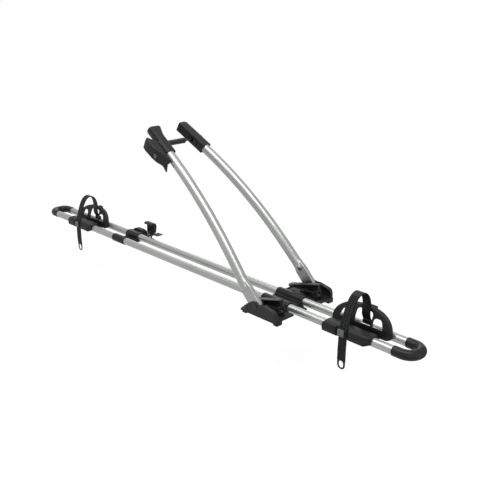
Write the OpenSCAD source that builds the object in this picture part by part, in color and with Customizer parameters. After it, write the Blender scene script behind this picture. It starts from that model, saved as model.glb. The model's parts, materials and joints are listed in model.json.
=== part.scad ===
// Roof mounted bike carrier: two rail tubes, a front base with folding frame arms,
// a sliding rear foot and two sliding wheel trays.
// X runs along the rail towards the front, Y across it to the left, Z up.
// The origin is the middle of the front base's seat on the roof bar.

/* [Rail] */
// Overall length from bumper nose to bumper nose
rail_len = 1490; // [1420:5:1600]
// Distance from the middle of the front base to the front nose
front_reach = 385; // [370:1:420]
// Diameter of the rail tubes
tube_d = 21; // [20:0.5:22]
// Wall thickness of the rail tubes
tube_wall = 1.6; // [1.2:0.1:2.4]
// Distance between the axes of the two rail tubes
tube_gap = 54; // [52:1:58]
// Height of the tube axes above the roof bar
tube_h = 15; // [14.5:0.5:17]

/* [Bumpers] */
// Diameter of the moulded end bends
bumper_d = 24; // [23:0.5:27]
// Length of an end bend outside the tubes
bumper_len = 57; // [52:1:70]
// Length of the plugs inside the tubes
plug_len = 32; // [20:1:50]

/* [Front base] */
// Length of the base along the rail
base_len = 120; // [116:1:130]
// Width over the two side cheeks
base_w = 214; // [210:1:224]
// Length of the tube clamps on the base
clamp_len = 87; // [70:1:96]
// Thickness of the floor under the wings
floor_t = 3.5; // [3:0.5:5]
// Underside of the wings above the roof bar
floor_z = 9.5; // [8.5:0.5:10]
// Thickness of the rubber seat pads
pad_t = 3; // [2:0.5:4]
// Height of the side cheeks above the roof bar
cheek_h = 42; // [41:0.5:46]
// Thickness of a side cheek
cheek_t = 3.4; // [3:0.2:5]

/* [Frame arms] */
// Diameter of an arm tube
arm_d = 26; // [24:0.5:28]
// Wall thickness of an arm tube
arm_wall = 2; // [1.6:0.1:3]
// Lean of an arm above the rail where it leaves the base
arm_low_tilt = 46; // [44:1:48]
// Lean of an arm where it enters its head
arm_top_tilt = 30; // [26:1:34]
// Radius of the gentle bend between those leans
arm_bend_r = 1300; // [1200:10:1500]
// Angle by which each arm leans in towards the other
arm_toe = 6.5; // [5.5:0.1:7]
// Length of the straight tube above the flattened end
arm_straight = 57; // [45:1:70]
// Width of the flattened end
blade_h = 35; // [32:0.5:36]
// Thickness of the flattened end
blade_t = 11; // [10:0.2:12]
// Radius of the fold pivot bolts
pivot_r = 4; // [3:0.5:5]
// Height of the fold pivots above the roof bar
pivot_z = 31; // [30.5:0.5:33]
// Distance of the fold pivots behind the middle of the base
pivot_back = 10; // [8:1:14]

/* [Clamp heads] */
// Length of a clamp head
head_len = 102; // [95:1:115]
// Depth of a clamp head across its arm
head_deep = 27; // [27:0.5:30]
// Width of a clamp head
head_wide = 28; // [28:0.5:30]
// Distance of the tie rod above the end of the arm tube
rod_up = 38; // [34:1:44]
// Radius of the tie rod
rod_r = 3; // [2.5:0.5:4]
// Radius of the spacer sleeve on the tie rod
spacer_r = 7.5; // [6:0.5:9]
// Length of the clamp lever below its pin
grip_len = 71; // [65:1:76]

/* [Wheel trays] */
// Distance of the front tray's strap slot ahead of the base
tray_x = 206; // [202:1:215]
// Distance of the rear tray's strap slot ahead of the rear nose
tray_in = 209; // [204:1:240]
// Half length of the wheel guard along the rail
guard_half = 82; // [74:1:86]
// Height of the wheel guard
guard_h = 59; // [54:1:64]
// Thickness of the wheel guard
guard_t = 3; // [2.5:0.5:4]
// Width of the ratchet strap
strap_w = 20; // [18:1:24]
// Thickness of the ratchet strap
strap_t = 3; // [2.4:0.2:3.4]

/* [Quick levers] */
// Length of a base lever from its pin to the paddle's end
lever_len = 93; // [88:1:98]
// Height of a base lever's heel above its pin
lever_heel = 31.5; // [28:0.5:34]
// Radius of the lever pins
lever_pin_r = 2.5; // [2:0.5:3]
// Radius of the draw bolts
draw_r = 3; // [2.5:0.5:3.5]

/* [Rear foot] */
// Distance of the rear foot ahead of the rear tray's strap slot
foot_ahead = 216; // [212:1:260]
// Length of the rear foot's sleeves
foot_len = 60; // [54:1:66]

/* [Hidden] */
$fn = 48;
fit = 0.1; // seat of a fixed piece in its partner
run = 0.08; // radial play of a pin or a slide
air = 0.5; // gap between pieces that pass each other
tube_r = tube_d / 2;
tube_y = tube_gap / 2;
tube_x1 = front_reach - bumper_len;
tube_x0 = front_reach - rail_len + bumper_len;
floor_top = floor_z + floor_t;

clamp_x0 = 3 - base_len / 2;
clamp_wall = 3;
clamp_flange = 9;
clamp_side = tube_y + tube_r + clamp_flange;

cheek_y = base_w / 2 - cheek_t;
pivot = [-pivot_back, 0, pivot_z];
blade_y = cheek_y - 0.8 - blade_t / 2;
blade_r = 14;
blade_off = 3.4; // the pivot sits this far ahead of the blade's middle
bush_r = pivot_r + 2;
inner_lug_t = 3.5;
inner_lug_y = blade_y - blade_t / 2 - 0.8 - inner_lug_t;

// the arm: flattened from the pivot to blade_end, round tube from tube_start on
blade_end = 38;
tube_start = 62;
arm_r = arm_d / 2;
arm_foot = pivot + tube_start * [-cos(arm_low_tilt), 0, sin(arm_low_tilt)]
    - blade_off * [sin(arm_low_tilt), 0, cos(arm_low_tilt)] + [0, blade_y, 0];

// points of the arm's centreline in its own upright plane: along, up
bend_start = arm_straight * [cos(arm_low_tilt), sin(arm_low_tilt)];
bend_centre = bend_start + arm_bend_r * [sin(arm_low_tilt), -cos(arm_low_tilt)];
arm_end = bend_centre + arm_bend_r * [-sin(arm_top_tilt), cos(arm_top_tilt)];
head_dir = [cos(arm_top_tilt), sin(arm_top_tilt)];
// the same on the left of the carrier: along and up become X, Y and Z
function arm_point(p) = arm_foot + [-p[0] * cos(arm_toe), -p[0] * sin(arm_toe), p[1]];
rod_at = arm_point(arm_end + rod_up * head_dir);
fin_len = 8;
plug_r = arm_r - arm_wall - 1.2; // clears the bend of the arm's bore
collar_r = arm_r + 0.7; // clears the bend of the arm's outside
pad_proud = 1.5;
spacer_end = 19; // the sleeve reaches this far past the middle
cam_r = 14.6; // reach of the closed cam from its pin
cam_off = 2 * [-sin(25), cos(25)];
cam_out = head_wide / 2 + 1.2 + air + cam_r;
lever_at = [rod_at[0], rod_at[1] + cam_out, rod_at[2]];
grip_pin_r = 2.5;
lock_at = [-28, -11];

rear_tray_x = front_reach - rail_len + tray_in;
foot_x = rear_tray_x + foot_ahead;
foot_wall = 1.8;
rear_handle = [40, 26, 35]; // width at the top and at the foot, height above the pin
foot_bolt = [foot_x + 32, tube_y + 41];
lever_y = (clamp_side + inner_lug_y) / 2 + 1; // half way between clamp and pivot
lever_x = 37;
lever_pin_z = floor_top + 8.5;
lever_gap = 8; // space between the two legs of a lever fork
cam_drop = 1.5; // the cams sit this far off the pin
cam_leg_r = 6.5;

saddle_wall = 4.5;
strap_y = tube_y + tube_r + 4.2; // strap in front of the rail tube
button_t = 4.5;
button_gap = 1.6; // travel of the button plus air
button_w = 17;
button_x = -5;
guard_shift = 9; // guard's middle ahead of the strap slot
guard_r = 100; // radius of the guard's outward curl
guard_y = 6; // inner face of the guard at its foot
guard_z = tube_h - 7;
guard_rim = 9;
strap_far = [16, 21]; // along and across, where the strap meets the guard

// A part is drawn on the left and mirrored to the right
module on_side(s) { mirror([0, s < 0 ? 1 : 0, 0]) children(); }

// A rod along X, along Y or upright from a point
module x_rod(p, r, h) { translate(p) rotate([0, 90, 0]) cylinder(r = r, h = h); }
module y_rod(p, r, h) { translate(p) rotate([-90, 0, 0]) cylinder(r = r, h = h); }
module z_rod(p, r, h) { translate(p) cylinder(r = r, h = h); }

// A flat outline in X and Z, as thick as t along Y from y on
module side_plate(y, t) { translate([0, y + t, 0]) rotate([90, 0, 0]) linear_extrude(t) children(); }

// Points of an arc round c
function arc(c, r, a0, a1, n = 8) = [for (i = [0:n]) c + r * [cos(a0 + (a1 - a0) * i / n), sin(a0 + (a1 - a0) * i / n)]];

// Both tubes' room, cut out of what holds them
module tube_room(gap) {
    for (s = [-1, 1])
        x_rod([tube_x0 - 50, s * tube_y, tube_h], tube_r + gap, rail_len);
}

// Rail

module rail_tube(s) {
    color("silver") difference() {
        x_rod([tube_x0, s * tube_y, tube_h], tube_r, tube_x1 - tube_x0);
        x_rod([tube_x0 - 1, s * tube_y, tube_h], tube_r - tube_wall, tube_x1 - tube_x0 + 2);
    }
}

// Drawn for the front: two plugs, two legs and a half ring with a flat nose
module bumper() {
    facet = 1.6;
    ring_x = bumper_len + facet - bumper_d / 2 - tube_y;
    color("dimgray") intersection() {
        union() {
            translate([ring_x, 0, 0]) rotate([0, 0, -90])
                rotate_extrude(angle = 180) translate([tube_y, 0]) circle(d = bumper_d);
            for (s = [-1, 1]) {
                x_rod([fit, s * tube_y, 0], bumper_d / 2, ring_x - fit);
                x_rod([-plug_len, s * tube_y, 0], tube_r - tube_wall - fit, plug_len + 1);
            }
        }
        translate([-plug_len - 1, -60, -40]) cube([plug_len + 1 + bumper_len, 120, 80]);
    }
}
module front_bumper() { translate([tube_x1, 0, tube_h]) bumper(); }
module rear_bumper() { translate([tube_x0, 0, tube_h]) mirror([1, 0, 0]) bumper(); }

// Front base

base_holes = [-37, clamp_side + 12.5]; // clamp bow holes, along and across
clamp_screws = [for (x = [10, clamp_len - 10], y = [-1, 1]) [clamp_x0 + x, y * (tube_r + 5)]];
cheek_screws = [-50, 44];
cheek_foot_y = cheek_y - 5.4;

module front_base() {
    wing_in = clamp_side - 4;
    color("dimgray") difference() {
        union() {
            translate([clamp_x0, -clamp_side, pad_t])
                cube([clamp_len, 2 * clamp_side, tube_h - pad_t]);
            // toothed tongue between the tubes
            translate([clamp_x0 + clamp_len - 1, -12, pad_t + 1]) cube([24, 24, 4]);
            for (i = [0:4])
                translate([clamp_x0 + clamp_len + 2 + 4 * i, -12, pad_t + 4.5]) cube([2, 24, 2]);
            for (s = [-1, 1]) on_side(s) {
                translate([-base_len / 2, wing_in, floor_z])
                    cube([base_len, cheek_y - fit - wing_in, floor_t]);
                // corner feet that rest on the roof bar
                for (x = [base_len / 2 - 14, -base_len / 2 + 3])
                    translate([x, cheek_y - 19, 0]) cube([14, 19 - fit, floor_z + 1]);
                // rib across the rear of the wing
                translate([-base_len / 2, clamp_side - 1, floor_top - 0.5]) cube([4, 50, 3]);
            }
        }
        tube_room(fit);
        for (s = [-1, 1]) on_side(s) {
            z_rod([base_holes[0], base_holes[1], floor_z - 1], 4.25, floor_t + 2);
            z_rod([lever_x, lever_y, floor_z - 1], draw_r + run, floor_t + 2);
            for (x = cheek_screws) z_rod([x, cheek_foot_y, -1], 2 + fit, floor_top + 3);
            for (x = cheek_screws) z_rod([x, cheek_foot_y, -1], 3.7, floor_z + 1);
        }
        for (p = clamp_screws, s = [-1, 1]) {
            z_rod([p[0], s * tube_y + p[1], pad_t - 1], 2 + fit, tube_h);
            z_rod([p[0], s * tube_y + p[1], pad_t - 1], 3.2, 4);
        }
    }
}

module front_pad() {
    color([0.12, 0.12, 0.12]) difference() {
        translate([clamp_x0 + 2, -clamp_side + 2, 0]) cube([clamp_len - 4, 2 * clamp_side - 4, pad_t - fit]);
        for (i = [1:7])
            translate([clamp_x0 + 11 * i + 6, -clamp_side, -0.1]) cube([2, 2 * clamp_side, 1]);
    }
}

// Half shell over one rail tube, with a flange each side and a ridge on top
module tube_clamp(s) {
    outer_r = tube_r + clamp_wall;
    flange = tube_r + clamp_flange - 0.4;
    color("dimgray") difference() {
        union() {
            intersection() {
                x_rod([clamp_x0, s * tube_y, tube_h], outer_r, clamp_len);
                translate([clamp_x0, s * tube_y - outer_r, tube_h + fit])
                    cube([clamp_len, 2 * outer_r, outer_r]);
            }
            translate([clamp_x0, 0, 0]) rotate([90, 0, 90]) linear_extrude(clamp_len)
                translate([s * tube_y, tube_h + fit]) polygon([[-flange, 0], [-flange, 4], [-flange + 2, 5.5],
                    [-5, outer_r - 0.6], [-3, outer_r + 1], [3, outer_r + 1], [5, outer_r - 0.6],
                    [flange - 2, 5.5], [flange, 4], [flange, 0]]);
        }
        tube_room(fit);
        for (p = clamp_screws) z_rod([p[0], s * tube_y + p[1], tube_h - 1], 2 + fit, 5);
    }
}

module screw(r, head_r, h, head_h) {
    z_rod([0, 0, 0], r, h);
    difference() {
        z_rod([0, 0, h], head_r, head_h);
        z_rod([0, 0, h + head_h * 0.4], head_r * 0.45, head_h);
    }
}

module base_screws() {
    color("silver") {
        for (p = clamp_screws, s = [-1, 1]) translate([p[0], s * tube_y + p[1], tube_h + 3.6])
            mirror([0, 0, 1]) screw(2, 3, tube_h + 0.8 - pad_t, 1.8);
        for (s = [-1, 1], x = cheek_screws) translate([x, s * cheek_foot_y, floor_top + 3.6])
            mirror([0, 0, 1]) screw(2, 3.4, floor_t + 3.7, 2);
    }
}

// Outline of a cheek in X and Z: steep behind, domed, falling gently to the front
function cheek_outline(g) = let (b = floor_z - 3.5 + g, e = base_len / 2 - g, t = cheek_h - g) concat(
    [[e, b], [e, 16]], arc([e - 22, t - 22 - 5], 22, 0, 66, 6), [[16, t - 1]],
    arc([-pivot_back, t - 34], 34, 68, 118, 6), [[-40 + g, 29], [-44 + g, floor_top + 3]],
    [[-base_len / 2 + g, floor_z + 2], [-base_len / 2 + g, b]]);

module cheek(s) {
    outer = base_w / 2;
    color("dimgray") on_side(s) difference() {
        union() {
            side_plate(cheek_y, cheek_t) polygon(cheek_outline(0));
            // thick rim along the front, ahead of the blade's sweep
            intersection() {
                side_plate(cheek_y - 8, 8.5) difference() {
                    polygon(cheek_outline(0));
                    polygon(cheek_outline(4.5));
                }
                translate([pivot[0] + 27, 0, floor_top + 0.1]) cube([100, base_w, 100]);
            }
            // feet that take the screws from below
            for (x = cheek_screws)
                translate([x - 5, cheek_foot_y - 5, floor_top]) cube([10, 11, 5]);
        }
        y_rod([pivot[0], cheek_y - 1, pivot[2]], pivot_r + fit, 20);
        y_rod([pivot[0], outer - 1.6, pivot[2]], 6.3, 5);
        for (x = cheek_screws)
            z_rod([x, cheek_foot_y, floor_top - 1], 2 + fit, 4.8);
        // relief inside the rear edge, which the arm's step passes as it folds
        translate([pivot[0] - 40, cheek_y - 1, floor_top + 1.5]) cube([14, 2.5, 24]);
        // upright groove behind the pivot
        translate([pivot[0] - 30, outer - 1.2, floor_top + 5]) cube([2.5, 3, 12]);
    }
}

// Steel angle that carries the inner end of the fold pivot
module pivot_bracket(s) {
    r = 10.5;
    color("dimgray") on_side(s) difference() {
        union() {
            side_plate(inner_lug_y, inner_lug_t) polygon(concat(
                [[pivot[0] + 16, floor_top], [pivot[0] + 16, floor_top + 5]],
                arc([pivot[0], pivot[2]], r, 20, 160, 10),
                [[pivot[0] - 16, floor_top + 5], [pivot[0] - 16, floor_top]]));
            translate([pivot[0] - 16, inner_lug_y - 14, floor_top]) cube([32, 15, 2.5]);
        }
        y_rod([pivot[0], inner_lug_y - 1, pivot[2]], pivot_r + fit, 10);
    }
}

module pivot_bolt(s) {
    head = base_w / 2 - 1.6 + fit;
    tip = inner_lug_y - 6;
    color("black") on_side(s) difference() {
        union() {
            y_rod([pivot[0], tip, pivot[2]], pivot_r, head - tip + 1);
            y_rod([pivot[0], head, pivot[2]], 6, 2.2);
        }
        translate([pivot[0], head + 0.8, pivot[2]]) rotate([-90, 0, 0]) cylinder(r = 2.6, h = 3, $fn = 6);
    }
}

module pivot_nuts() {
    color("silver") for (s = [-1, 1]) on_side(s) difference() {
        translate([pivot[0], inner_lug_y - 5 - fit, pivot[2]]) rotate([-90, 0, 0])
            cylinder(r = pivot_r + 2.4, h = 5, $fn = 6);
        y_rod([pivot[0], inner_lug_y - 6, pivot[2]], pivot_r + 0.05, 7);
    }
}

// Frame arms

// The arm's own frame: X along it, Z up, origin where its round tube starts
module arm_frame() { translate(arm_foot) rotate([0, 0, 180 + arm_toe]) children(); }
// The head's frame: X on along the head, Y towards the other arm, Z square to both
module head_frame() {
    arm_frame() translate([arm_end[0], 0, arm_end[1]]) rotate([0, -arm_top_tilt, 0]) children();
}
// The pivot's frame: X along the flattened end, Y inwards
module blade_frame() { translate(pivot) rotate([0, 0, 180]) rotate([0, -arm_low_tilt, 0]) children(); }

module blade_slice(x, t) {
    translate([x, -blade_y, -blade_off]) rotate([90, 0, 90]) linear_extrude(t) for (z = [-1, 1])
        translate([0, z * (blade_h - blade_t) / 2]) circle(d = blade_t, $fn = 32);
}

// Side view of the flattened end: round nose on the pivot, then full width
function blade_side() = let (w = blade_h / 2 - 1, o = -blade_off) concat(
    arc([0, 0], blade_r, 110, 270, 14), [[12, o - w], [blade_end, o - w], [blade_end, o + w], [14, o + w]]);

module arm(s) {
    color("silver") on_side(s) difference() {
        union() {
            arm_frame() rotate([0, 90 - arm_low_tilt, 0]) difference() {
                cylinder(r = arm_r, h = arm_straight);
                translate([0, 0, -1]) cylinder(r = arm_r - arm_wall, h = arm_straight + 2);
            }
            arm_frame() translate([bend_centre[0], 0, bend_centre[1]]) rotate([90, 0, 0])
                rotate([0, 0, 90 + arm_top_tilt])
                    rotate_extrude(angle = arm_low_tilt - arm_top_tilt) translate([arm_bend_r, 0])
                        difference() { circle(r = arm_r); circle(r = arm_r - arm_wall); }
            // the step from the flattened end to the round tube
            hull() {
                blade_frame() blade_slice(blade_end - 0.5, 0.5);
                arm_frame() rotate([0, 90 - arm_low_tilt, 0]) cylinder(r = arm_r, h = 0.5, $fn = 32);
            }
            blade_frame() side_plate(-blade_y - blade_t / 2, blade_t) polygon(blade_side());
        }
        y_rod([pivot[0], 0, pivot[2]], bush_r + 0.02, base_w);
        // small hole in the inner side of the step, long hole in the outer side near the head
        blade_frame() translate([blade_end + 12, -blade_y + 20, 0]) rotate([90, 0, 0]) cylinder(r = 1.6, h = 20);
        head_frame() for (x = [-49, -43])
            translate([x, -arm_r - 2, 2]) rotate([-90, 0, 0]) cylinder(r = 2.6, h = 6);
    }
}

module arm_bushes() {
    color("white") for (s = [-1, 1]) on_side(s) difference() {
        y_rod([pivot[0], blade_y - blade_t / 2 - 0.6, pivot[2]], bush_r, blade_t + 1.2);
        y_rod([pivot[0], 0, pivot[2]], pivot_r + run, base_w);
    }
}

// Head in its own frame: a block with a round outer side, a plug in the arm and
// four fins that reach down over the tube's end
module head_block(round_r) {
    hw = head_wide / 2;
    hd = head_deep / 2;
    difference() {
        union() {
            intersection() {
                translate([-fin_len, -hw, -hd]) cube([head_len + fin_len - 2, head_wide, head_deep]);
                union() {
                    translate([-fin_len - 1, -hw + round_r, -hd]) cube([head_len + fin_len + 2, head_wide, head_deep]);
                    translate([-fin_len - 1, -hw, -hd + round_r])
                        cube([head_len + fin_len + 2, head_wide, max(0.1, head_deep - 2 * round_r)]);
                    for (z = [-1, 1]) translate([-fin_len - 1, -hw + round_r, z * (hd - round_r)])
                        rotate([0, 90, 0]) cylinder(r = round_r, h = head_len + fin_len + 2);
                }
            }
            rotate([0, 90, 0]) translate([0, 0, -22]) cylinder(r = plug_r, h = 24);
        }
        // room for the tube's end
        difference() {
            translate([-fin_len - 1, 0, 0]) rotate([0, 90, 0]) cylinder(r = collar_r, h = fin_len + 1);
            translate([-fin_len - 2, 0, 0]) rotate([0, 90, 0]) cylinder(r = plug_r, h = fin_len + 3);
        }
        // seat of the jaw pad and of the screw below it
        translate([rod_up + 9, hw - 2, -hd + 2.5]) cube([head_len - rod_up - 16, 5, head_deep - 5]);
        translate([11, hw - 8, 1]) rotate([-90, 0, 0]) cylinder(r = 2 + fit, h = 20);
        translate([11, hw - 2.5, 1]) rotate([-90, 0, 0]) cylinder(r = 4, h = 20);
    }
}

module rod_hole() { y_rod([rod_at[0], 0, rod_at[2]], rod_r + run, base_w); }

module right_head() {
    color("dimgray") on_side(-1) difference() {
        head_frame() head_block(head_deep / 2 - 0.05);
        rod_hole();
        // flat for the cam washer
        y_rod([rod_at[0], rod_at[1] + head_wide / 2 - 1.5, rod_at[2]], 12, 40);
    }
}

module left_head() {
    color("dimgray") difference() {
        head_frame() head_block(5);
        rod_hole();
        y_rod([rod_at[0], rod_at[1] + head_wide / 2 - 1.5, rod_at[2]], 9, 40);
    }
}

module jaw_pad(s) {
    len = head_len - rod_up - 16.4;
    deep = head_deep - 5.4;
    color([0.15, 0.15, 0.15]) on_side(s) head_frame() difference() {
        translate([rod_up + 9.2, head_wide / 2 - 1.9, -deep / 2]) cube([len, 1.9 + pad_proud, deep]);
        for (i = [1:4]) translate([rod_up + 9.2 + i * len / 5 - 1, head_wide / 2 + 0.7, -deep])
            cube([2, 5, 2 * deep]);
    }
}

module head_screws() {
    color("black") for (s = [-1, 1]) on_side(s) head_frame()
        translate([11, head_wide / 2 - 8, 1]) rotate([-90, 0, 0]) screw(2, 3.6, 5.6, 1.8);
}

module spacer_sleeve() {
    from = -rod_at[1] + head_wide / 2 + 1.5;
    color("gray") difference() {
        y_rod([rod_at[0], from, rod_at[2]], spacer_r, spacer_end - from);
        y_rod([rod_at[0], from - 1, rod_at[2]], rod_r + run, spacer_end - from + 2);
    }
}

// Everything on the right head's outer side is drawn about the lever pin
module lever_frame() {
    on_side(-1) translate(lever_at) rotate([0, 0, 180 + arm_toe]) rotate([0, -arm_top_tilt, 0]) children();
}

module tie_rod() {
    color("silver") difference() {
        union() {
            y_rod([rod_at[0], -lever_at[1] + 4, rod_at[2]], rod_r, lever_at[1] + rod_at[1] + head_wide / 2 + 7);
            lever_frame() translate([0, 0, -5]) cylinder(r = 6, h = 10);
        }
        lever_frame() translate([0, 0, -6]) cylinder(r = grip_pin_r + 0.05, h = 12);
    }
}

module rod_nut() {
    seat = rod_at[1] + head_wide / 2 - 1.5 + fit;
    color("black") difference() {
        union() {
            y_rod([rod_at[0], seat, rod_at[2]], 8.4, 2);
            y_rod([rod_at[0], seat + 1, rod_at[2]], 7.4, 8);
        }
        y_rod([rod_at[0], seat - 1, rod_at[2]], rod_r + 0.05, 30);
    }
}

module cam_washer() {
    seat = rod_at[1] + head_wide / 2 - 1.5 + fit;
    color("silver") on_side(-1) difference() {
        y_rod([rod_at[0], seat, rod_at[2]], 11, 2.4);
        y_rod([rod_at[0], seat - 1, rod_at[2]], rod_r + run, 6);
    }
}

// Lever plan round its pin, outwards is negative Y: a round cam, then a long wedge
function lever_plan() = concat([[20, -cam_r], [26, -cam_r + 5], [26, -5], [13.5, 4]], arc(cam_off, cam_r - cam_off[1], 20, 90, 7),
    [[-grip_len + 2, cam_r], [-grip_len, cam_r - 3], [-grip_len * 0.6, 1], [10, -cam_r]]);
// Lever side view: flat top, belly, and a hooked tip that points down
function lever_side() = [[30, 4], [12, 8], [-grip_len * 0.5, 8], [-grip_len - 1, 6], [-grip_len + 1, -6],
    [-grip_len + 5, -20], [-grip_len + 2, -36], [-grip_len + 12, -26], [-grip_len * 0.5, -28],
    [-10, -24], [30, -19]];

module clamp_lever() {
    color("gray") lever_frame() difference() {
        intersection() {
            translate([0, 0, -45]) linear_extrude(60) polygon(lever_plan());
            side_plate(-40, 80) polygon(lever_side());
            // the top falls away to the outer edge
            translate([-120, 0, 0]) rotate([90, 0, 90]) linear_extrude(200)
                polygon([[-40, -60], [-40, -12], [-cam_r, -4], [-2, 6], [6, 8], [40, 8], [40, -60]]);
        }
        translate([0, 0, -50]) cylinder(r = grip_pin_r + run, h = 100);
        // slot that clears the rod and its eye as the lever swings
        translate([-4, -3.6, -5.3]) cube([40, 40, 10.6]);
        translate([0, 0, -5.3]) cylinder(r = 6.5, h = 10.6);
        // lock bore
        translate([lock_at[0], -24, lock_at[1]]) rotate([-90, 0, 0]) cylinder(r = 6 + run, h = 60);
    }
}

module clamp_lever_pin() {
    color("silver") lever_frame() translate([0, 0, -18]) cylinder(r = grip_pin_r, h = 24);
}

module lock_barrel() {
    face = -cam_r + 7.6;
    color("silver") lever_frame() difference() {
        translate([lock_at[0], face, lock_at[1]]) rotate([-90, 0, 0]) cylinder(r = 6, h = 15);
        translate([lock_at[0] - 0.6, face - 1, lock_at[1] - 2.5]) cube([1.2, 3, 5]);
    }
}

// Base levers, drawn about the pin with the paddle behind, legs round the draw bolt

module lever_legs(cam) {
    for (s = [-1, 1]) on_side(s) {
        y_rod([cam[0], lever_gap / 2, cam[1]], cam_leg_r, 6);
        side_plate(lever_gap / 2, 6) polygon([[-6.5, 0], [6.5, 0], [5, 12], [-3, 12]]);
    }
}

module base_lever() {
    back = -lever_len;
    strip_z = 2.5;
    web_t = 4;
    difference() {
        union() {
            lever_legs([0, -cam_drop]);
            translate([-2, -lever_gap / 2 - 6, 9]) cube([7, lever_gap + 12, 4]);
            // upright rib at the heel
            translate([-1, -5, 11]) cube([5, 10, lever_heel - 12]);
            // bottom strip, web and sloping top
            translate([back + 24, -5, strip_z]) cube([-back - 32, 10, 3]);
            side_plate(-5, 10) polygon([[-10, strip_z], [-10, strip_z + 3], [-3, 12], [2, 12], [-3, 8]]);
            side_plate(-web_t / 2, web_t) polygon([[3, 10], [3, lever_heel - 1], [0, lever_heel - 1], [back + 28, strip_z + 6],
                [back + 26, strip_z + 1], [-8, strip_z + 1]]);
            side_plate(-5, 10) polygon([[4, lever_heel - 3], [3, lever_heel], [-4, lever_heel], [back + 27, strip_z + 11],
                [back + 25, strip_z + 7], [0, lever_heel - 4]]);
            // broad paddle that runs into the top
            side_plate(-9, 18) polygon([[back + 42, strip_z + 11], [back + 42, strip_z + 8], [back + 22, strip_z],
                [back + 12, strip_z], [back + 12, strip_z + 5], [back + 24, strip_z + 8]]);
            translate([back + 13, 0, strip_z - 1]) cylinder(r = 13, h = 6);
        }
        y_rod([0, -20, 0], lever_pin_r + run, 40);
    }
}

module right_base_lever() {
    color("dimgray") translate([lever_x, -lever_y, lever_pin_z]) base_lever();
}
module left_base_lever() {
    color("dimgray") translate([lever_x, lever_y, lever_pin_z]) base_lever();
}

module lever_pin(s) {
    len = lever_gap + 13;
    color("silver") y_rod([lever_x, s * lever_y - len / 2, lever_pin_z], lever_pin_r, len);
}

// Eye bolt that a lever draws up: eye, shank and flat foot under the floor
module draw_bolt(tail) {
    difference() {
        union() {
            y_rod([0, -lever_gap / 2 + air, 0], 6, lever_gap - 2 * air);
            z_rod([0, 0, -tail], draw_r, tail - 2);
            translate([-8, -5, -tail]) cube([16, 10, 3]);
        }
        y_rod([0, -20, 0], lever_pin_r + 0.05, 40);
    }
}
module base_draw_bolt(s) {
    color("silver") translate([lever_x, s * lever_y, lever_pin_z]) draw_bolt(lever_pin_z - 4);
}

// Rear foot

module rear_base() {
    r = tube_r + foot_wall;
    x0 = foot_x - foot_len / 2;
    y1 = tube_y + tube_r + 4;
    color("dimgray") difference() {
        union() {
            x_rod([x0, -tube_y, tube_h], r, foot_len);
            // square sleeve on the left tube
            translate([x0, tube_y - tube_r - 3, pad_t]) cube([foot_len, 2 * tube_r + 7, tube_h + tube_r - pad_t]);
            translate([x0, tube_y - 6, tube_h]) cube([foot_len, y1 - tube_y + 6, r + 0.6]);
            translate([x0, -tube_y + 4, pad_t + 3]) cube([foot_len, tube_gap - 8, 4]);
            // wing with its floor, tongue and lever seat
            translate([x0 - 10, tube_y + 4, floor_z]) cube([foot_len + 14, 86 - tube_y - 4, floor_t]);
            translate([foot_bolt[0] - 8, 80, floor_z]) cube([26, 22, 2.5]);
        }
        tube_room(run);
        z_rod([foot_bolt[0], foot_bolt[1], floor_z - 1], draw_r + run, floor_t + 4);
    }
}

// Domed cover beside the left sleeve
module rear_cover() {
    x0 = foot_x - foot_len / 2 - 8;
    y0 = tube_y + tube_r + 4.2;
    w = 16;
    h = 30;
    color("dimgray") difference() {
        side_plate(y0, w) polygon(concat([[x0 + 66, floor_top + 0.1]],
            [[x0 + 66, h - 12]], arc([x0 + 48, h - 17], 17, 20, 90, 5), arc([x0 + 28, h - 22], 22, 95, 160, 8),
            [[x0 + 3, floor_top + 0.1]]));
        side_plate(y0 + 3, w - 6) polygon(concat([[x0 + 62, floor_top]],
            [[x0 + 62, h - 14]], arc([x0 + 46, h - 19], 15, 20, 90, 5), arc([x0 + 29, h - 24], 20, 95, 150, 8),
            [[x0 + 12, floor_top]]));
    }
}

module rear_pad() {
    color([0.12, 0.12, 0.12]) difference() {
        translate([foot_x - foot_len / 2 + 2, tube_y - tube_r - 2, 0]) cube([foot_len - 4, 2 * tube_r + 5, pad_t - fit]);
        for (i = [1:4]) translate([foot_x - foot_len / 2 + 12 * i - 1, -60, -0.1]) cube([2, 120, 1]);
    }
}

// Upright handle with a curled top, hinged along the rail
module rear_lever() {
    top = rear_handle[0] / 2;
    low = rear_handle[1] / 2;
    h = rear_handle[2];
    color("dimgray") translate([foot_bolt[0], foot_bolt[1], lever_pin_z]) rotate([0, 0, 90]) difference() {
        union() {
            lever_legs([cam_drop, 0]);
            intersection() {
                union() {
                    side_plate(-top, 2 * top) polygon([[6, 9], [7, h - 8], [4, h - 1], [-6, h], [-13, h - 4],
                        [-12, h - 7], [-5, h - 5], [-1, h - 9], [-2, 9]]);
                    for (y = [-top, -2.5, top - 5]) side_plate(y, 5) polygon([[6, 9], [12, 12], [10, h - 8], [4, h - 1]]);
                }
                translate([-30, 0, 0]) rotate([90, 0, 90]) linear_extrude(60)
                    polygon([[-low, 8], [low, 8], [top, h - 8], [top - 2, h + 1], [-top + 2, h + 1], [-top, h - 8]]);
            }
        }
        y_rod([0, -60, 0], lever_pin_r + run, 120);
    }
}
module rear_lever_pin() {
    len = lever_gap + 13;
    color("silver") x_rod([foot_bolt[0] - len / 2, foot_bolt[1], lever_pin_z], lever_pin_r, len);
}
module rear_draw_bolt() {
    color("silver") translate([foot_bolt[0], foot_bolt[1], lever_pin_z]) rotate([0, 0, 90])
        draw_bolt(lever_pin_z + 3);
}

// Wheel trays, drawn with the strap slot at X = 0

saddle_back = -64;
saddle_front = 76;
slot_half = strap_w / 2 + 0.6;

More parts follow.
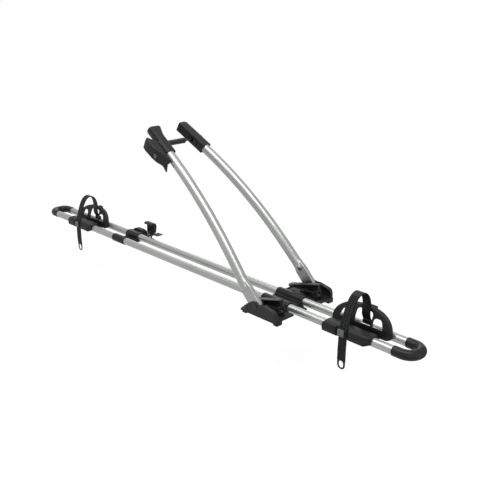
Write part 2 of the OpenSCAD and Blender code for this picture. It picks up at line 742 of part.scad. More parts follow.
// Section across the rail tube: wraps it outside, over and inside
function saddle_section() = let (y = -tube_y, o = tube_r + saddle_wall, z = tube_h) concat(
    [[y - o - 3.5, z + 3]], arc([y - o + 8, z + 3], 11.5, 180, 105, 6), [[y + 2, z + o - 0.5], [y + tube_r + 6, z + tube_r + 1],
    [y + tube_r + 7, z - 7], [y + 2, z - tube_r - 2.5], [y - o + 2, z - tube_r - 3], [y - o - 3.5, z - 6]]);

module tray_saddle() {
    y = -tube_y;
    front = y - tube_r - saddle_wall - 4;
    slot_deep = -strap_y + strap_t / 2 + 0.6 - front;
    color("dimgray") difference() {
        union() {
            difference() {
                translate([saddle_back, 0, 0]) rotate([90, 0, 90]) linear_extrude(saddle_front - saddle_back)
                    polygon(saddle_section());
                // ends: blunt and rounded behind, tapered in front
                side_plate(-90, 120) polygon([[-90, 60], [-90, tube_h + 8], [saddle_back, tube_h + 8], [saddle_back + 6, tube_h + 14], [-50, 60]]);
                side_plate(-90, 120) polygon([[90, 60], [90, tube_h + 6], [saddle_front, tube_h + 6], [saddle_front - 14, tube_h + 11], [40, tube_h + 19], [40, 60]]);
                side_plate(-90, 120) polygon([[90, -30], [90, tube_h - 2], [saddle_front, tube_h - 2], [saddle_front - 10, tube_h - 8], [50, tube_h - 13.4], [50, -30]]);
                translate([saddle_front, y, 0]) rotate([0, 0, 22]) translate([-30, -60, -10]) cube([80, 41, 60]);
            }
            // foot that carries the wheel guard
            translate([-46, y + tube_r + 3, tube_h - 8]) cube([110, guard_y - 0.3 - y - tube_r - 3, 6]);
        }
        tube_room(run);
        // slot for the strap and the button, open below and above
        translate([-slot_half - 1.5, front - 10, -30]) cube([2 * slot_half + 1.5, 10 + slot_deep, 90]);
        translate([-slot_half - 1.5, front, tube_h]) rotate([90, 0, 90]) linear_extrude(2 * slot_half + 1.5)
            polygon([[-10, 0], [slot_deep, 0], [slot_deep + 3.4, 25], [-10, 25]]);
        translate([button_x - button_w / 2 - 0.6, front - 10, -30]) cube([button_w + 1.2, 14, 90]);
        // seat of the lower clip
        translate([-41, -tube_y - tube_r - 1, -30]) cube([52, 60, 30 + tube_h - tube_r - 1.8]);
    }
}

// Clip under both tubes that holds the tray down
module tray_clip() {
    y0 = -tube_y - tube_r + 1;
    z = tube_h - tube_r;
    color("dimgray") difference() {
        translate([-40, y0, z - 5]) cube([50, 2 * tube_y + 2 * tube_r + 2, 12]);
        tube_room(run);
        translate([-50, y0 - 5, z - 1.9]) cube([70, guard_y - y0 + 4.7, 40]);
        translate([-50, guard_y - 1, guard_z - 0.3]) cube([70, 80, 40]);
        translate([-50, tube_y + tube_r - 1, z - 1]) cube([70, 80, 40]);
        translate([-50, -60, z - 10]) cube([70, 200, 6.5]);
    }
}

// Outline of the wheel guard, and its windows
function guard_outline(g) = [for (i = [0:36]) let (a = i * 5, c = cos(a), s = sin(a))
    [(guard_half - g) * sign(c) * pow(abs(c), 0.95), (guard_h - g) * pow(s, 0.95)]];

module guard_window(x, w, h, lean) {
    translate([x, 20]) union() {
        polygon([[-w / 2, 0], [w / 2, 0], [w / 2 + min(0, lean), h - 6], [-w / 2 + max(0, lean), h - 6]]);
        for (s = [-1, 1])
            translate([s > 0 ? w / 2 - 6 + min(0, lean) : -w / 2 + 6 + max(0, lean), h - 6]) circle(r = 6);
        translate([-w / 2 + 6 + max(0, lean), h - 7]) square([w - 12 - abs(lean), 7]);
    }
}

module guard_sheet(thick) {
    translate([-200, guard_y + guard_r, guard_z]) rotate([0, 90, 0]) difference() {
        cylinder(r = guard_r, h = 400, $fn = 96);
        translate([0, 0, -1]) cylinder(r = guard_r - thick, h = 402, $fn = 96);
    }
}

module wheel_guard() {
    color("gray") translate([guard_shift, 0, 0]) difference() {
        union() {
            intersection() {
                guard_sheet(guard_t);
                translate([0, 0, guard_z]) side_plate(0, 60) difference() {
                    polygon(guard_outline(0));
                    guard_window(3, 36, 28, 0);
                    guard_window(46, 26, 20, -8);
                    guard_window(-42, 26, 20, 8);
                }
            }
            intersection() {
                guard_sheet(guard_rim);
                translate([0, 0, guard_z]) side_plate(0, 60) difference() {
                    polygon(guard_outline(0));
                    polygon(guard_outline(2.6));
                    translate([-100, -1]) square([200, 9]);
                }
            }
            // keeper for the strap's tail on the rim
            for (x = [5, 21]) translate([x, guard_y + 27, guard_z + guard_h - 6]) cube([4, 8, 7]);
            translate([5, guard_y + 27, guard_z + guard_h - 1]) cube([20, 8, 2]);
        }
        tube_room(run + 0.3);
    }
}

// Centreline of the strap across and up: tail, slot, loop over the rim, guard
strap_line = [[-strap_y + 3, tube_h - 95], [-strap_y + 2, tube_h - 70], [-strap_y + 0.5, tube_h - 45], [-strap_y, tube_h - 20],
    [-strap_y, tube_h + 2], [-strap_y + 2.5, tube_h + 18], [-strap_y + 6.5, tube_h + 36], [-strap_y + 11.5, tube_h + 56],
    [-strap_y + 19, tube_h + 74], [-strap_y + 28, tube_h + 86], [-strap_y + 38, tube_h + 91], [-strap_y + 48, tube_h + 88],
    [-strap_y + 55, tube_h + 79], [-strap_y + 58, tube_h + 66], [-strap_y + 58, tube_h + 52], [-strap_y + 57.6, tube_h + 41],
    [-strap_y + 59, tube_h + 31], [-strap_y + 64, tube_h + 21]];
strap_count = len(strap_line) - 1;
// the strap leans forward from its slot to the guard
function strap_lean(i) = i < 5 ? i - 4 : strap_far[0] * min(1, (i - 5) / 8);
function strap_tangent(i) = let (a = strap_line[max(0, i - 1)], b = strap_line[min(strap_count, i + 1)], d = b - a) d / norm(d);
function strap_half(i) = strap_w / 2;

module strap() {
    // corners of one cross section
    rings = [for (i = [0:strap_count]) let (p = strap_line[i], t = strap_tangent(i), n = [-t[1], t[0]] * strap_t / 2,
        x = strap_lean(i), w = strap_half(i))
        [[x - w, p[0] + n[0], p[1] + n[1]], [x + w, p[0] + n[0], p[1] + n[1]],
         [x + w, p[0] - n[0], p[1] - n[1]], [x - w, p[0] - n[0], p[1] - n[1]]]];
    points = [for (ring = rings, corner = ring) corner];
    faces = concat([[3, 2, 1, 0]],
        [for (i = [0:strap_count - 1], k = [0:3]) let (a = 4 * i + k, b = 4 * i + (k + 1) % 4) each [[a, b, b + 4], [a, b + 4, a + 4]]],
        [[for (k = [0:3]) 4 * strap_count + k]]);
    color([0.15, 0.15, 0.15]) difference() {
        polyhedron(points = points, faces = faces);
        // long hole in the tail
        for (z = [8.5, 15]) y_rod([strap_lean(0), -60, strap_line[0][1] + z], 5.6, 40);
        translate([strap_lean(0) - 5.6, -60, strap_line[0][1] + 8.5]) cube([11.2, 40, 6.5]);
    }
}

// Block on the far tube, behind the guard's middle window, that holds the strap's end
module strap_anchor() {
    end = strap_line[strap_count];
    color("dimgray") difference() {
        translate([strap_far[0] - 13, end[0] - 3.5, tube_h + 6]) cube([27, 11, end[1] - tube_h - 7]);
        tube_room(run + 0.3);
        translate([guard_shift, 0, 0]) guard_sheet(guard_t + 0.3);
    }
}

module button() {
    y = -strap_y - strap_t / 2 - button_gap;
    color([0.42, 0.44, 0.45]) translate([button_x - button_w / 2, y - button_t, tube_h - 9])
        cube([button_w, button_t, 17]);
}

module at_front_tray() { translate([tray_x, 0, 0]) children(); }
module at_rear_tray() { translate([rear_tray_x, 0, 0]) children(); }

rail_tube(-1);  // right_tube
rail_tube(1);  // left_tube
front_bumper();
rear_bumper();
front_base();
front_pad();
tube_clamp(-1);  // right_clamp
tube_clamp(1);  // left_clamp
base_screws();
cheek(-1);  // right_cheek
cheek(1);  // left_cheek
pivot_bracket(-1);  // right_pivot_bracket
pivot_bracket(1);  // left_pivot_bracket
pivot_bolt(-1);  // right_pivot_bolt
pivot_bolt(1);  // left_pivot_bolt
pivot_nuts();
arm(-1);  // right_arm
arm(1);  // left_arm
arm_bushes();
right_head();
left_head();
jaw_pad(-1);  // right_jaw_pad
jaw_pad(1);  // left_jaw_pad
head_screws();
spacer_sleeve();
tie_rod();
rod_nut();
cam_washer();
clamp_lever();
clamp_lever_pin();
lock_barrel();
right_base_lever();
left_base_lever();
base_draw_bolt(-1);  // right_draw_bolt
base_draw_bolt(1);  // left_draw_bolt
lever_pin(-1);  // right_lever_pin
lever_pin(1);  // left_lever_pin
rear_base();
rear_cover();
rear_pad();
rear_lever();
rear_lever_pin();
rear_draw_bolt();
at_front_tray() tray_saddle();  // front_tray_saddle
at_front_tray() tray_clip();  // front_tray_clip
at_front_tray() wheel_guard();  // front_wheel_guard
at_front_tray() strap();  // front_strap
at_front_tray() strap_anchor();  // front_strap_anchor
at_front_tray() button();  // front_button
at_rear_tray() tray_saddle();  // rear_tray_saddle
at_rear_tray() tray_clip();  // rear_tray_clip
at_rear_tray() wheel_guard();  // rear_wheel_guard
at_rear_tray() strap();  // rear_strap
at_rear_tray() strap_anchor();  // rear_strap_anchor
at_rear_tray() button();  // rear_button
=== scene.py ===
import json
import math

import bpy
import numpy as np
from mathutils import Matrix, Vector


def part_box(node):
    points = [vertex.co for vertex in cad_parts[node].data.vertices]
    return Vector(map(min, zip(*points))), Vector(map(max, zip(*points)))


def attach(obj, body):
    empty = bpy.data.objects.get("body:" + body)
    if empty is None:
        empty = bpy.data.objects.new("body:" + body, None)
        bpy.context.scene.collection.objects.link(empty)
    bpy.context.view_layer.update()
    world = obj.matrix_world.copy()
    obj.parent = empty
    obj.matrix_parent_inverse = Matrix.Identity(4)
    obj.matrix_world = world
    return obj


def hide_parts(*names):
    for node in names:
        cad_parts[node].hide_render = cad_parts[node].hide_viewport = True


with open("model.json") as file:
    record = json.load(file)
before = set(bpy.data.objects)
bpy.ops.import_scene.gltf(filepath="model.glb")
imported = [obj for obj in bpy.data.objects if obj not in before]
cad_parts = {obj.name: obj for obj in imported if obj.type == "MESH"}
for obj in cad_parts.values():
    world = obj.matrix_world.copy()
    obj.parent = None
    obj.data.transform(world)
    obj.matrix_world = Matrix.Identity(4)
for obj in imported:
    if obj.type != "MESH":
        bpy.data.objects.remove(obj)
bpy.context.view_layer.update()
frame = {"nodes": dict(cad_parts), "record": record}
nodes = frame["nodes"]
scene = bpy.context.scene
scene.view_settings.view_transform = "Standard"
mm = 0.001
print("frame loaded:", len(nodes), "nodes")

# Shapes are worked out in millimetres in the carrier's own frame: X to the front,
# Y to the left, Z up. They become metres when the mesh is made.


# the two rail tubes, read from the frame
tubeLow, tubeHigh = (np.array(corner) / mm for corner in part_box("left_tube"))
rail = {
    "radius": (tubeHigh[2] - tubeLow[2]) / 2,
    "y": (tubeHigh[1] + tubeLow[1]) / 2,
    "z": (tubeHigh[2] + tubeLow[2]) / 2,
    "rear": tubeLow[0],
    "front": tubeHigh[0],
    "wall": 1.6,
}


# Outlines and solids


def arc(centre, radius, start, end, steps=8):
    # points on a circle, angles in degrees
    a = np.radians(np.linspace(start, end, steps + 1))
    return np.array(centre) + radius * np.stack([np.cos(a), np.sin(a)], 1)


def rounded(corners, radius, steps=6):
    # each corner becomes an arc that touches both its sides; the arc's points turn
    # evenly from one touching point to the other about the arc's centre
    p = np.array(corners, float)
    back, ahead = np.roll(p, 1, 0) - p, np.roll(p, -1, 0) - p
    backLen = np.linalg.norm(back, axis=1, keepdims=True)
    aheadLen = np.linalg.norm(ahead, axis=1, keepdims=True)
    back, ahead = back / backLen, ahead / aheadLen
    half = np.arccos(np.clip((back * ahead).sum(1, keepdims=True), -0.99999, 0.99999)) / 2
    r = np.minimum(np.reshape(radius, (-1, 1)), 0.48 * np.minimum(backLen, aheadLen) * np.tan(half))
    middle = back + ahead
    centre = p + middle / np.linalg.norm(middle, axis=1, keepdims=True) * r / np.sin(half)
    first = p + back * r / np.tan(half) - centre
    last = p + ahead * r / np.tan(half) - centre
    turn = (math.pi - 2 * half)[:, None]
    t = np.linspace(0, 1, steps + 1)[None, :, None]
    bow = (np.sin((1 - t) * turn) * first[:, None] + np.sin(t * turn) * last[:, None]) / np.sin(turn)
    return (centre[:, None] + bow).reshape(-1, 2)


def pulledIn(outline, depth):
    # every point moves inwards along the bisector of its two sides
    before = outline - np.roll(outline, 1, 0)
    after = np.roll(outline, -1, 0) - outline
    before /= np.maximum(np.linalg.norm(before, axis=1, keepdims=True), 1e-9)
    after /= np.maximum(np.linalg.norm(after, axis=1, keepdims=True), 1e-9)
    n1 = np.stack([-before[:, 1], before[:, 0]], 1)
    n2 = np.stack([-after[:, 1], after[:, 0]], 1)
    return outline + depth * (n1 + n2) / np.maximum(1 + (n1 * n2).sum(1, keepdims=True), 0.35)


def ringSolid(rings):
    # rings of points joined into a closed skin with a flat cap at both ends
    rings = np.array(rings, float)
    count, size = rings.shape[:2]
    i, j = np.meshgrid(np.arange(count - 1), np.arange(size), indexing="ij")
    k = (j + 1) % size
    quads = np.stack([i * size + j, i * size + k, (i + 1) * size + k, (i + 1) * size + j], -1)
    caps = [list(range(size))[::-1], list(range((count - 1) * size, count * size))]
    return rings.reshape(-1, 3), quads.reshape(-1, 4).tolist() + caps


def torusSolid(rings):
    # rings of points joined into a skin that closes on itself both ways
    rings = np.array(rings, float)
    count, size = rings.shape[:2]
    i, j = np.meshgrid(np.arange(count), np.arange(size), indexing="ij")
    ii, k = (i + 1) % count, (j + 1) % size
    quads = np.stack([i * size + j, i * size + k, ii * size + k, ii * size + j], -1)
    return rings.reshape(-1, 3), quads.reshape(-1, 4).tolist()


planes = {  # where an outline's two axes and its thickness point
    "side": np.array([[1, 0, 0], [0, 0, 1], [0, 1, 0]], float),
    "plan": np.array([[1, 0, 0], [0, 1, 0], [0, 0, 1]], float),
    "across": np.array([[0, 1, 0], [0, 0, 1], [1, 0, 0]], float),
}


def slab(outline, plane, low, high, edge=1.0, steps=3):
    # an outline drawn out along its thickness, both rims rounded by quarter circles
    outline = np.array(outline, float)
    x, y = outline.T
    if (x * np.roll(y, -1) - y * np.roll(x, -1)).sum() < 0:
        outline = outline[::-1]
    lowEdge, highEdge = edge if isinstance(edge, tuple) else (edge, edge)
    t = np.linspace(0, math.pi / 2, steps + 1)
    depths = np.concatenate([lowEdge * (1 - np.sin(t)), highEdge * (1 - np.sin(t))[::-1]])
    levels = np.concatenate([low + lowEdge * (1 - np.cos(t)), high - highEdge * (1 - np.cos(t))[::-1]])
    rings = np.stack([
        np.concatenate([pulledIn(outline, d), np.full((len(outline), 1), z)], 1)
        for d, z in zip(depths, levels)])
    return ringSolid(rings @ planes[plane])


def block(low, high, edge=1.0, corner=None, plane="plan"):
    # a box with rounded rims, and upright edges rounded by corner
    axes = planes[plane]
    a, b = np.array(low, float) @ axes.T, np.array(high, float) @ axes.T
    box = [(a[0], a[1]), (b[0], a[1]), (b[0], b[1]), (a[0], b[1])]
    return slab(rounded(box, corner or edge), plane, a[2], b[2], edge)


def rod(start, end, radius, edge=0.5, around=40):
    # a round bar between two points, its rims rounded
    start, end = np.array(start, float), np.array(end, float)
    length = np.linalg.norm(end - start)
    along = (end - start) / length
    side = np.cross(along, [0, 0, 1] if abs(along[2]) < 0.9 else [1, 0, 0])
    side /= np.linalg.norm(side)
    other = np.cross(along, side)
    t = np.linspace(0, math.pi / 2, 4)
    r = np.concatenate([radius - edge * (1 - np.sin(t)), radius - edge * (1 - np.sin(t))[::-1]])
    z = np.concatenate([edge * (1 - np.cos(t)), length - edge * (1 - np.cos(t))[::-1]])
    a = np.linspace(0, 2 * math.pi, around, endpoint=False)
    circle = np.cos(a)[:, None] * side + np.sin(a)[:, None] * other
    rings = start + z[:, None, None] * along + r[:, None, None] * circle[None]
    return ringSolid(rings)


def moved(solid, matrix=None, at=(0, 0, 0)):
    # a solid's points turned by the rows of a matrix and shifted
    points, faces = solid
    return (points @ np.array(matrix, float) if matrix is not None else points) + np.array(at, float), faces


def sided(solid, side):
    # drawn on the left; the right one is its mirror image
    return solid[0] * np.array([1, side, 1]), solid[1]


def sideName(side):
    return "left" if side > 0 else "right"


def smoothStep(t):
    # rises from 0 to 1 with level ends
    return t * t * (3 - 2 * t)


def outward(points, faces):
    # the shell's signed volume says whether its faces have to be turned round
    quads = np.array([f for f in faces if len(f) == 4])
    rest = [f for f in faces if len(f) != 4]
    tris = np.concatenate([quads[:, [0, 1, 2]], quads[:, [0, 2, 3]]]) if len(quads) else np.zeros((0, 3), int)
    fans = [np.array([[f[0], f[k], f[k + 1]] for k in range(1, len(f) - 1)]) for f in rest]
    tris = np.concatenate([tris] + fans) if fans else tris
    a, b, c = (points[tris[:, k]] for k in range(3))
    volume = (a * np.cross(b, c)).sum()
    return faces if volume > 0 else [f[::-1] for f in faces]


def putMesh(name, solids, crease=40):
    # one object from closed shells, shaded smooth except across edges sharper than crease
    points, faces, base = [], [], 0
    for p, f in solids:
        faces += [[i + base for i in face] for face in outward(p, f)]
        points.append(p)
        base += len(p)
    mesh = bpy.data.meshes.new(name)
    mesh.from_pydata(np.concatenate(points) * mm, [], faces)
    mesh.shade_smooth()
    mesh.set_sharp_from_angle(angle=math.radians(crease))
    piece = bpy.data.objects.new(name, mesh)
    scene.collection.objects.link(piece)
    return piece


def settled(piece):
    # the modifiers' result becomes the piece's own mesh
    graph = bpy.context.evaluated_depsgraph_get()
    mesh = bpy.data.meshes.new_from_object(piece.evaluated_get(graph))
    piece.modifiers.clear()
    old, piece.data = piece.data, mesh
    bpy.data.meshes.remove(old)
    mesh.name = piece.name
    return piece


def remeshed(piece, voxel):
    grid = piece.modifiers.new("voxels", "REMESH")
    grid.mode = "VOXEL"
    grid.voxel_size = voxel * mm
    grid.use_smooth_shade = True
    return settled(piece)


def carved(piece, cuts, operation="DIFFERENCE"):
    # each cut is taken out of the piece; with INTERSECT what lies outside it is
    for cut in cuts:
        tool = putMesh("tool", [cut])
        carve = piece.modifiers.new("carve", "BOOLEAN")
        carve.operation = operation
        carve.solver = "MANIFOLD"
        carve.object = tool
        settled(piece)
        bpy.data.objects.remove(tool)
    return piece


def eased(piece, rounds):
    # all edges are rounded off a little, as a mould's are
    ease = piece.modifiers.new("ease", "SMOOTH")
    ease.factor = 0.5
    ease.iterations = rounds
    settled(piece).data.shade_smooth()
    return piece


def moulded(name, solids, cuts=(), voxel=0.7, rounds=3, rows=None, at=(0, 0, 0)):
    # a moulded part: its solids melt into one skin, the cuts are taken out, and the
    # edges are eased; rows and at turn and shift it from its own axes into place
    piece = remeshed(putMesh(name, [moved(solid, rows, at) for solid in solids]), voxel)
    if cuts:
        remeshed(carved(piece, [moved(cut, rows, at) for cut in cuts]), voxel)
    return eased(piece, rounds)


def reshaped(piece, change):
    # all points of a piece, in millimetres, pass through one function
    points = np.zeros(len(piece.data.vertices) * 3, np.float32)
    piece.data.vertices.foreach_get("co", points)
    points = change(points.reshape(-1, 3).astype(float) / mm) * mm
    piece.data.vertices.foreach_set("co", points.astype(np.float32).ravel())
    piece.data.update()
    return piece


def dress(piece, body, slot, *replaced, finish=None):
    # the piece gets its finish, picked by its slot unless one is named, and its body; the nodes that it
    # stands for are hidden
    piece.data.materials.clear()
    piece.data.materials.append(finishes[finish or slotFinish[slot]])
    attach(piece, body)
    if replaced:
        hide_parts(*replaced)


def lengthMap(piece, rings, ringLength):
    # a UV map in metres: along the rings' path, and round each ring; the seam's last
    # column runs on past the first
    count, size = rings
    mesh = piece.data
    corner = np.zeros(len(mesh.loops), int)
    mesh.loops.foreach_get("vertex_index", corner)
    row, column = corner // size, corner % size
    starts = np.zeros(len(mesh.polygons), int)
    totals = np.zeros(len(mesh.polygons), int)
    mesh.polygons.foreach_get("loop_start", starts)
    mesh.polygons.foreach_get("loop_total", totals)
    owner = np.repeat(np.arange(len(starts)), totals)
    highest = np.zeros(len(starts), int)
    np.maximum.at(highest, owner, column)
    column = np.where((column == 0) & (highest[owner] == size - 1), size, column)
    uv = np.stack([ringLength[0][np.minimum(row, count - 1)], column / size * ringLength[1]], 1) * mm
    layer = mesh.uv_layers.new(name="UVMap")
    layer.data.foreach_set("uv", uv.astype(np.float32).ravel())


# Finishes


def newFinish(name):
    finish = bpy.data.materials.new(name)
    finish.use_nodes = True
    tree = finish.node_tree
    shader = tree.nodes["Principled BSDF"]
    return finish, tree, shader


def addNode(tree, kind, settings=None, **sockets):
    node = tree.nodes.new(kind)
    for key, value in (settings or {}).items():
        setattr(node, key, value)
    for key, value in sockets.items():
        socket = node.inputs[int(key[1:])] if key[0] == "i" and key[1:].isdigit() else node.inputs[key]
        if isinstance(value, bpy.types.NodeSocket):
            tree.links.new(value, socket)
        else:
            socket.default_value = value
    return node


def ramp(tree, source, stops):
    # colours or greys between fixed places of a value
    node = addNode(tree, "ShaderNodeValToRGB", None, Fac=source)
    elements = node.color_ramp.elements
    while len(elements) < len(stops):
        elements.new(0.5)
    for element, (place, value) in zip(elements, stops):
        element.position = place
        element.color = (*value, 1) if isinstance(value, tuple) else (value, value, value, 1)
    return node.outputs["Color"]


def noise(tree, place, scale, detail, rough=0.5):
    return addNode(tree, "ShaderNodeTexNoise", None, Vector=place, Scale=scale, Detail=detail,
                   Roughness=rough).outputs["Fac"]


def vary(tree, shader, socket, source, reach, low, high):
    # a value of the shader goes from low to high as the source passes 0.5, within reach
    stops = [(0.5 - reach, low), (0.5 + reach, high)]
    tree.links.new(ramp(tree, source, stops), shader.inputs[socket])


def roughen(tree, shader, height, strength, distance):
    bump = addNode(tree, "ShaderNodeBump", None, Height=height, Strength=strength, Distance=distance)
    tree.links.new(bump.outputs["Normal"], shader.inputs["Normal"])


def scaled(tone, share):
    return tuple(min(1, c * share) for c in tone)


plasticFinish = {
    "grain": 1500.0,  # bumps of the moulded grain, per metre
    "grainDepth": 0.00006,
    "cloud": 28.0,  # slow changes of tone, per metre
    "toneSpread": 0.22,
    "roughSpread": 0.07,
}


def plastic(name, tone, rough, depth=1.0, grain=1.0):
    # moulded plastic: fine grain in the height, slow clouds in tone and gloss
    finish, tree, shader = newFinish(name)
    place = addNode(tree, "ShaderNodeTexCoord").outputs["Object"]
    s = plasticFinish
    slow, spread = noise(tree, place, s["cloud"], 3.0), s["toneSpread"]
    vary(tree, shader, "Base Color", slow, 0.2, scaled(tone, 1 - spread), scaled(tone, 1 + spread))
    vary(tree, shader, "Roughness", slow, 0.2, rough - s["roughSpread"], rough + s["roughSpread"])
    roughen(tree, shader, noise(tree, place, s["grain"] * grain, 2.0, 0.6), 0.5 * depth, s["grainDepth"])
    shader.inputs["IOR"].default_value = 1.46
    shader.inputs["Specular IOR Level"].default_value = 0.19
    return finish


metalFinish = {
    "lines": 2600.0,  # drawing lines round the tube, per metre
    "lineDepth": 0.00002,
    "cloud": 9.0,
    "spots": 420.0,  # spots of the plating, per metre
    "spotDepth": 0.00004,
}


def drawnAluminium(name, tone, rough):
    # satin anodised tube: faint lines along it, worked out on the length map
    finish, tree, shader = newFinish(name)
    place = addNode(tree, "ShaderNodeUVMap", {"uv_map": "UVMap"}).outputs["UV"]
    s = metalFinish
    stretched = addNode(tree, "ShaderNodeMapping", None, Vector=place, Scale=(12.0, s["lines"], 1.0))
    lines = noise(tree, stretched.outputs[0], 1.0, 3.0)
    slow = noise(tree, place, s["cloud"], 2.0)
    vary(tree, shader, "Base Color", slow, 0.15, scaled(tone, 0.95), scaled(tone, 1.04))
    vary(tree, shader, "Roughness", lines, 0.2, rough - 0.04, rough + 0.05)
    roughen(tree, shader, lines, 0.25, s["lineDepth"])
    shader.inputs["Metallic"].default_value = 0.78
    return finish


def platedSteel(name, tone, rough, metallic=1.0):
    # zinc plated or blackened steel: a mottled gloss and a faint uneven height
    finish, tree, shader = newFinish(name)
    spots = noise(tree, addNode(tree, "ShaderNodeTexCoord").outputs["Object"], metalFinish["spots"], 4.0)
    vary(tree, shader, "Base Color", spots, 0.2, scaled(tone, 0.85), scaled(tone, 1.1))
    vary(tree, shader, "Roughness", spots, 0.2, rough - 0.06, rough + 0.08)
    roughen(tree, shader, spots, 0.2, metalFinish["spotDepth"])
    shader.inputs["Metallic"].default_value = metallic
    return finish


finishes = {
    "tube": drawnAluminium("satinAluminium", (0.33, 0.337, 0.33), 0.31),
    "arm": drawnAluminium("satinArmAluminium", (0.32, 0.327, 0.32), 0.33),
    "black": plastic("blackMouldedPlastic", (0.010, 0.0102, 0.0105), 0.46),
    "clamp": plastic("glossyBlackPlastic", (0.007, 0.007, 0.0075), 0.27, 0.3),
    "cheek": plastic("blackCheekPlastic", (0.022, 0.0225, 0.023), 0.52),
    "end": plastic("blackBumperPlastic", (0.012, 0.0122, 0.0125), 0.38),
    "lever": plastic("blackLeverPlastic", (0.013, 0.0135, 0.014), 0.42),
    "guard": plastic("blackGuardPlastic", (0.011, 0.0112, 0.0115), 0.44),
    "sleeve": plastic("blackSleevePlastic", (0.028, 0.029, 0.030), 0.45),
    "strap": plastic("blackStrapPlastic", (0.008, 0.008, 0.0085), 0.40, 0.6),
    "button": plastic("greyButtonPlastic", (0.125, 0.133, 0.138), 0.50),
    "rubber": plastic("blackRubber", (0.010, 0.010, 0.010), 0.75, 1.4, 0.7),
    "steel": platedSteel("zincSteel", (0.42, 0.42, 0.41), 0.40),
    "dullSteel": platedSteel("dullSteel", (0.05, 0.05, 0.052), 0.5, 0.6),
    "lockSteel": platedSteel("lockSteel", (0.13, 0.132, 0.135), 0.45),
    "blackSteel": platedSteel("blackSteel", (0.02, 0.02, 0.022), 0.45, 0.4),
    "nylon": plastic("whiteNylon", (0.62, 0.62, 0.58), 0.5),
}
slotFinish = {
    "aluminium": "tube", "arm_aluminium": "arm", "black_plastic": "black", "end_plastic": "end",
    "lever_plastic": "lever", "guard_plastic": "guard", "sleeve_plastic": "sleeve",
    "strap_plastic": "strap", "grey_plastic": "button", "rubber": "rubber", "steel": "steel",
    "black_steel": "blackSteel", "nylon": "nylon",
}
nodeFinish = {  # fasteners that the photo shows dull and dark
    "right_pivot_bolt": "blackSteel", "left_pivot_bolt": "blackSteel", "pivot_nuts": "dullSteel",
    "right_draw_bolt": "dullSteel", "left_draw_bolt": "dullSteel", "rear_draw_bolt": "dullSteel",
    "right_lever_pin": "dullSteel", "left_lever_pin": "dullSteel", "rear_lever_pin": "dullSteel",
    "base_screws": "blackSteel", "lock_barrel": "lockSteel", "cam_washer": "dullSteel",
    "rod_nut": "blackSteel", "clamp_lever_pin": "blackSteel",
}
# every node of the frame first takes the finish of its slot
for entry in frame["record"]["subparts"]:
    node = nodes[entry["node"]]
    node.data.materials.clear()
    finish = nodeFinish.get(entry["node"], slotFinish[entry["material_slot"]])
    node.data.materials.append(finishes[finish])
print("finishes made:", len(finishes))


# Camera, floor and light

cameraPlace = {
    "at": (1.0641, -1.1888, 0.7292),
    "turn": (70.81, 0.0, 46.11),
    "lens": 52.664,
    "sensor": 36.0,
}


def putCamera(place):
    camera = bpy.data.objects.new("camera", bpy.data.cameras.new("camera"))
    scene.collection.objects.link(camera)
    camera.location = place["at"]
    camera.rotation_euler = [math.radians(a) for a in place["turn"]]
    camera.data.lens = place["lens"]
    camera.data.sensor_width = place["sensor"]
    scene.camera = camera


studio = {
    "floor": -0.16,  # well below the strap tails, because a roof bar holds the carrier up
    "floorSize": 3.4,
    "floorGlow": 0.91,
    "floorTone": 0.16,
    "world": 0.22,
    "lamps": [  # place, aim, size, watts
        ((-0.2, -0.6, 2.5), (-0.3, 0, 0), (3.2, 1.4), 80.0),
        ((2.4, -2.0, 1.2), (0, 0, 0.1), (1.8, 1.8), 17.0),
        ((-2.2, 2.0, 1.6), (0, 0, 0.1), (1.8, 1.8), 15.0),
    ],
}


def whiteRays(tree):
    # 1 for camera, glossy and transmission rays, which meet a white surround
    path = addNode(tree, "ShaderNodeLightPath")
    total = addNode(tree, "ShaderNodeMath", {"operation": "MAXIMUM"}, i0=path.outputs["Is Camera Ray"],
                    i1=path.outputs["Is Glossy Ray"])
    total = addNode(tree, "ShaderNodeMath", {"operation": "MAXIMUM"}, i0=total.outputs[0],
                    i1=path.outputs["Is Transmission Ray"])
    return total.outputs[0]


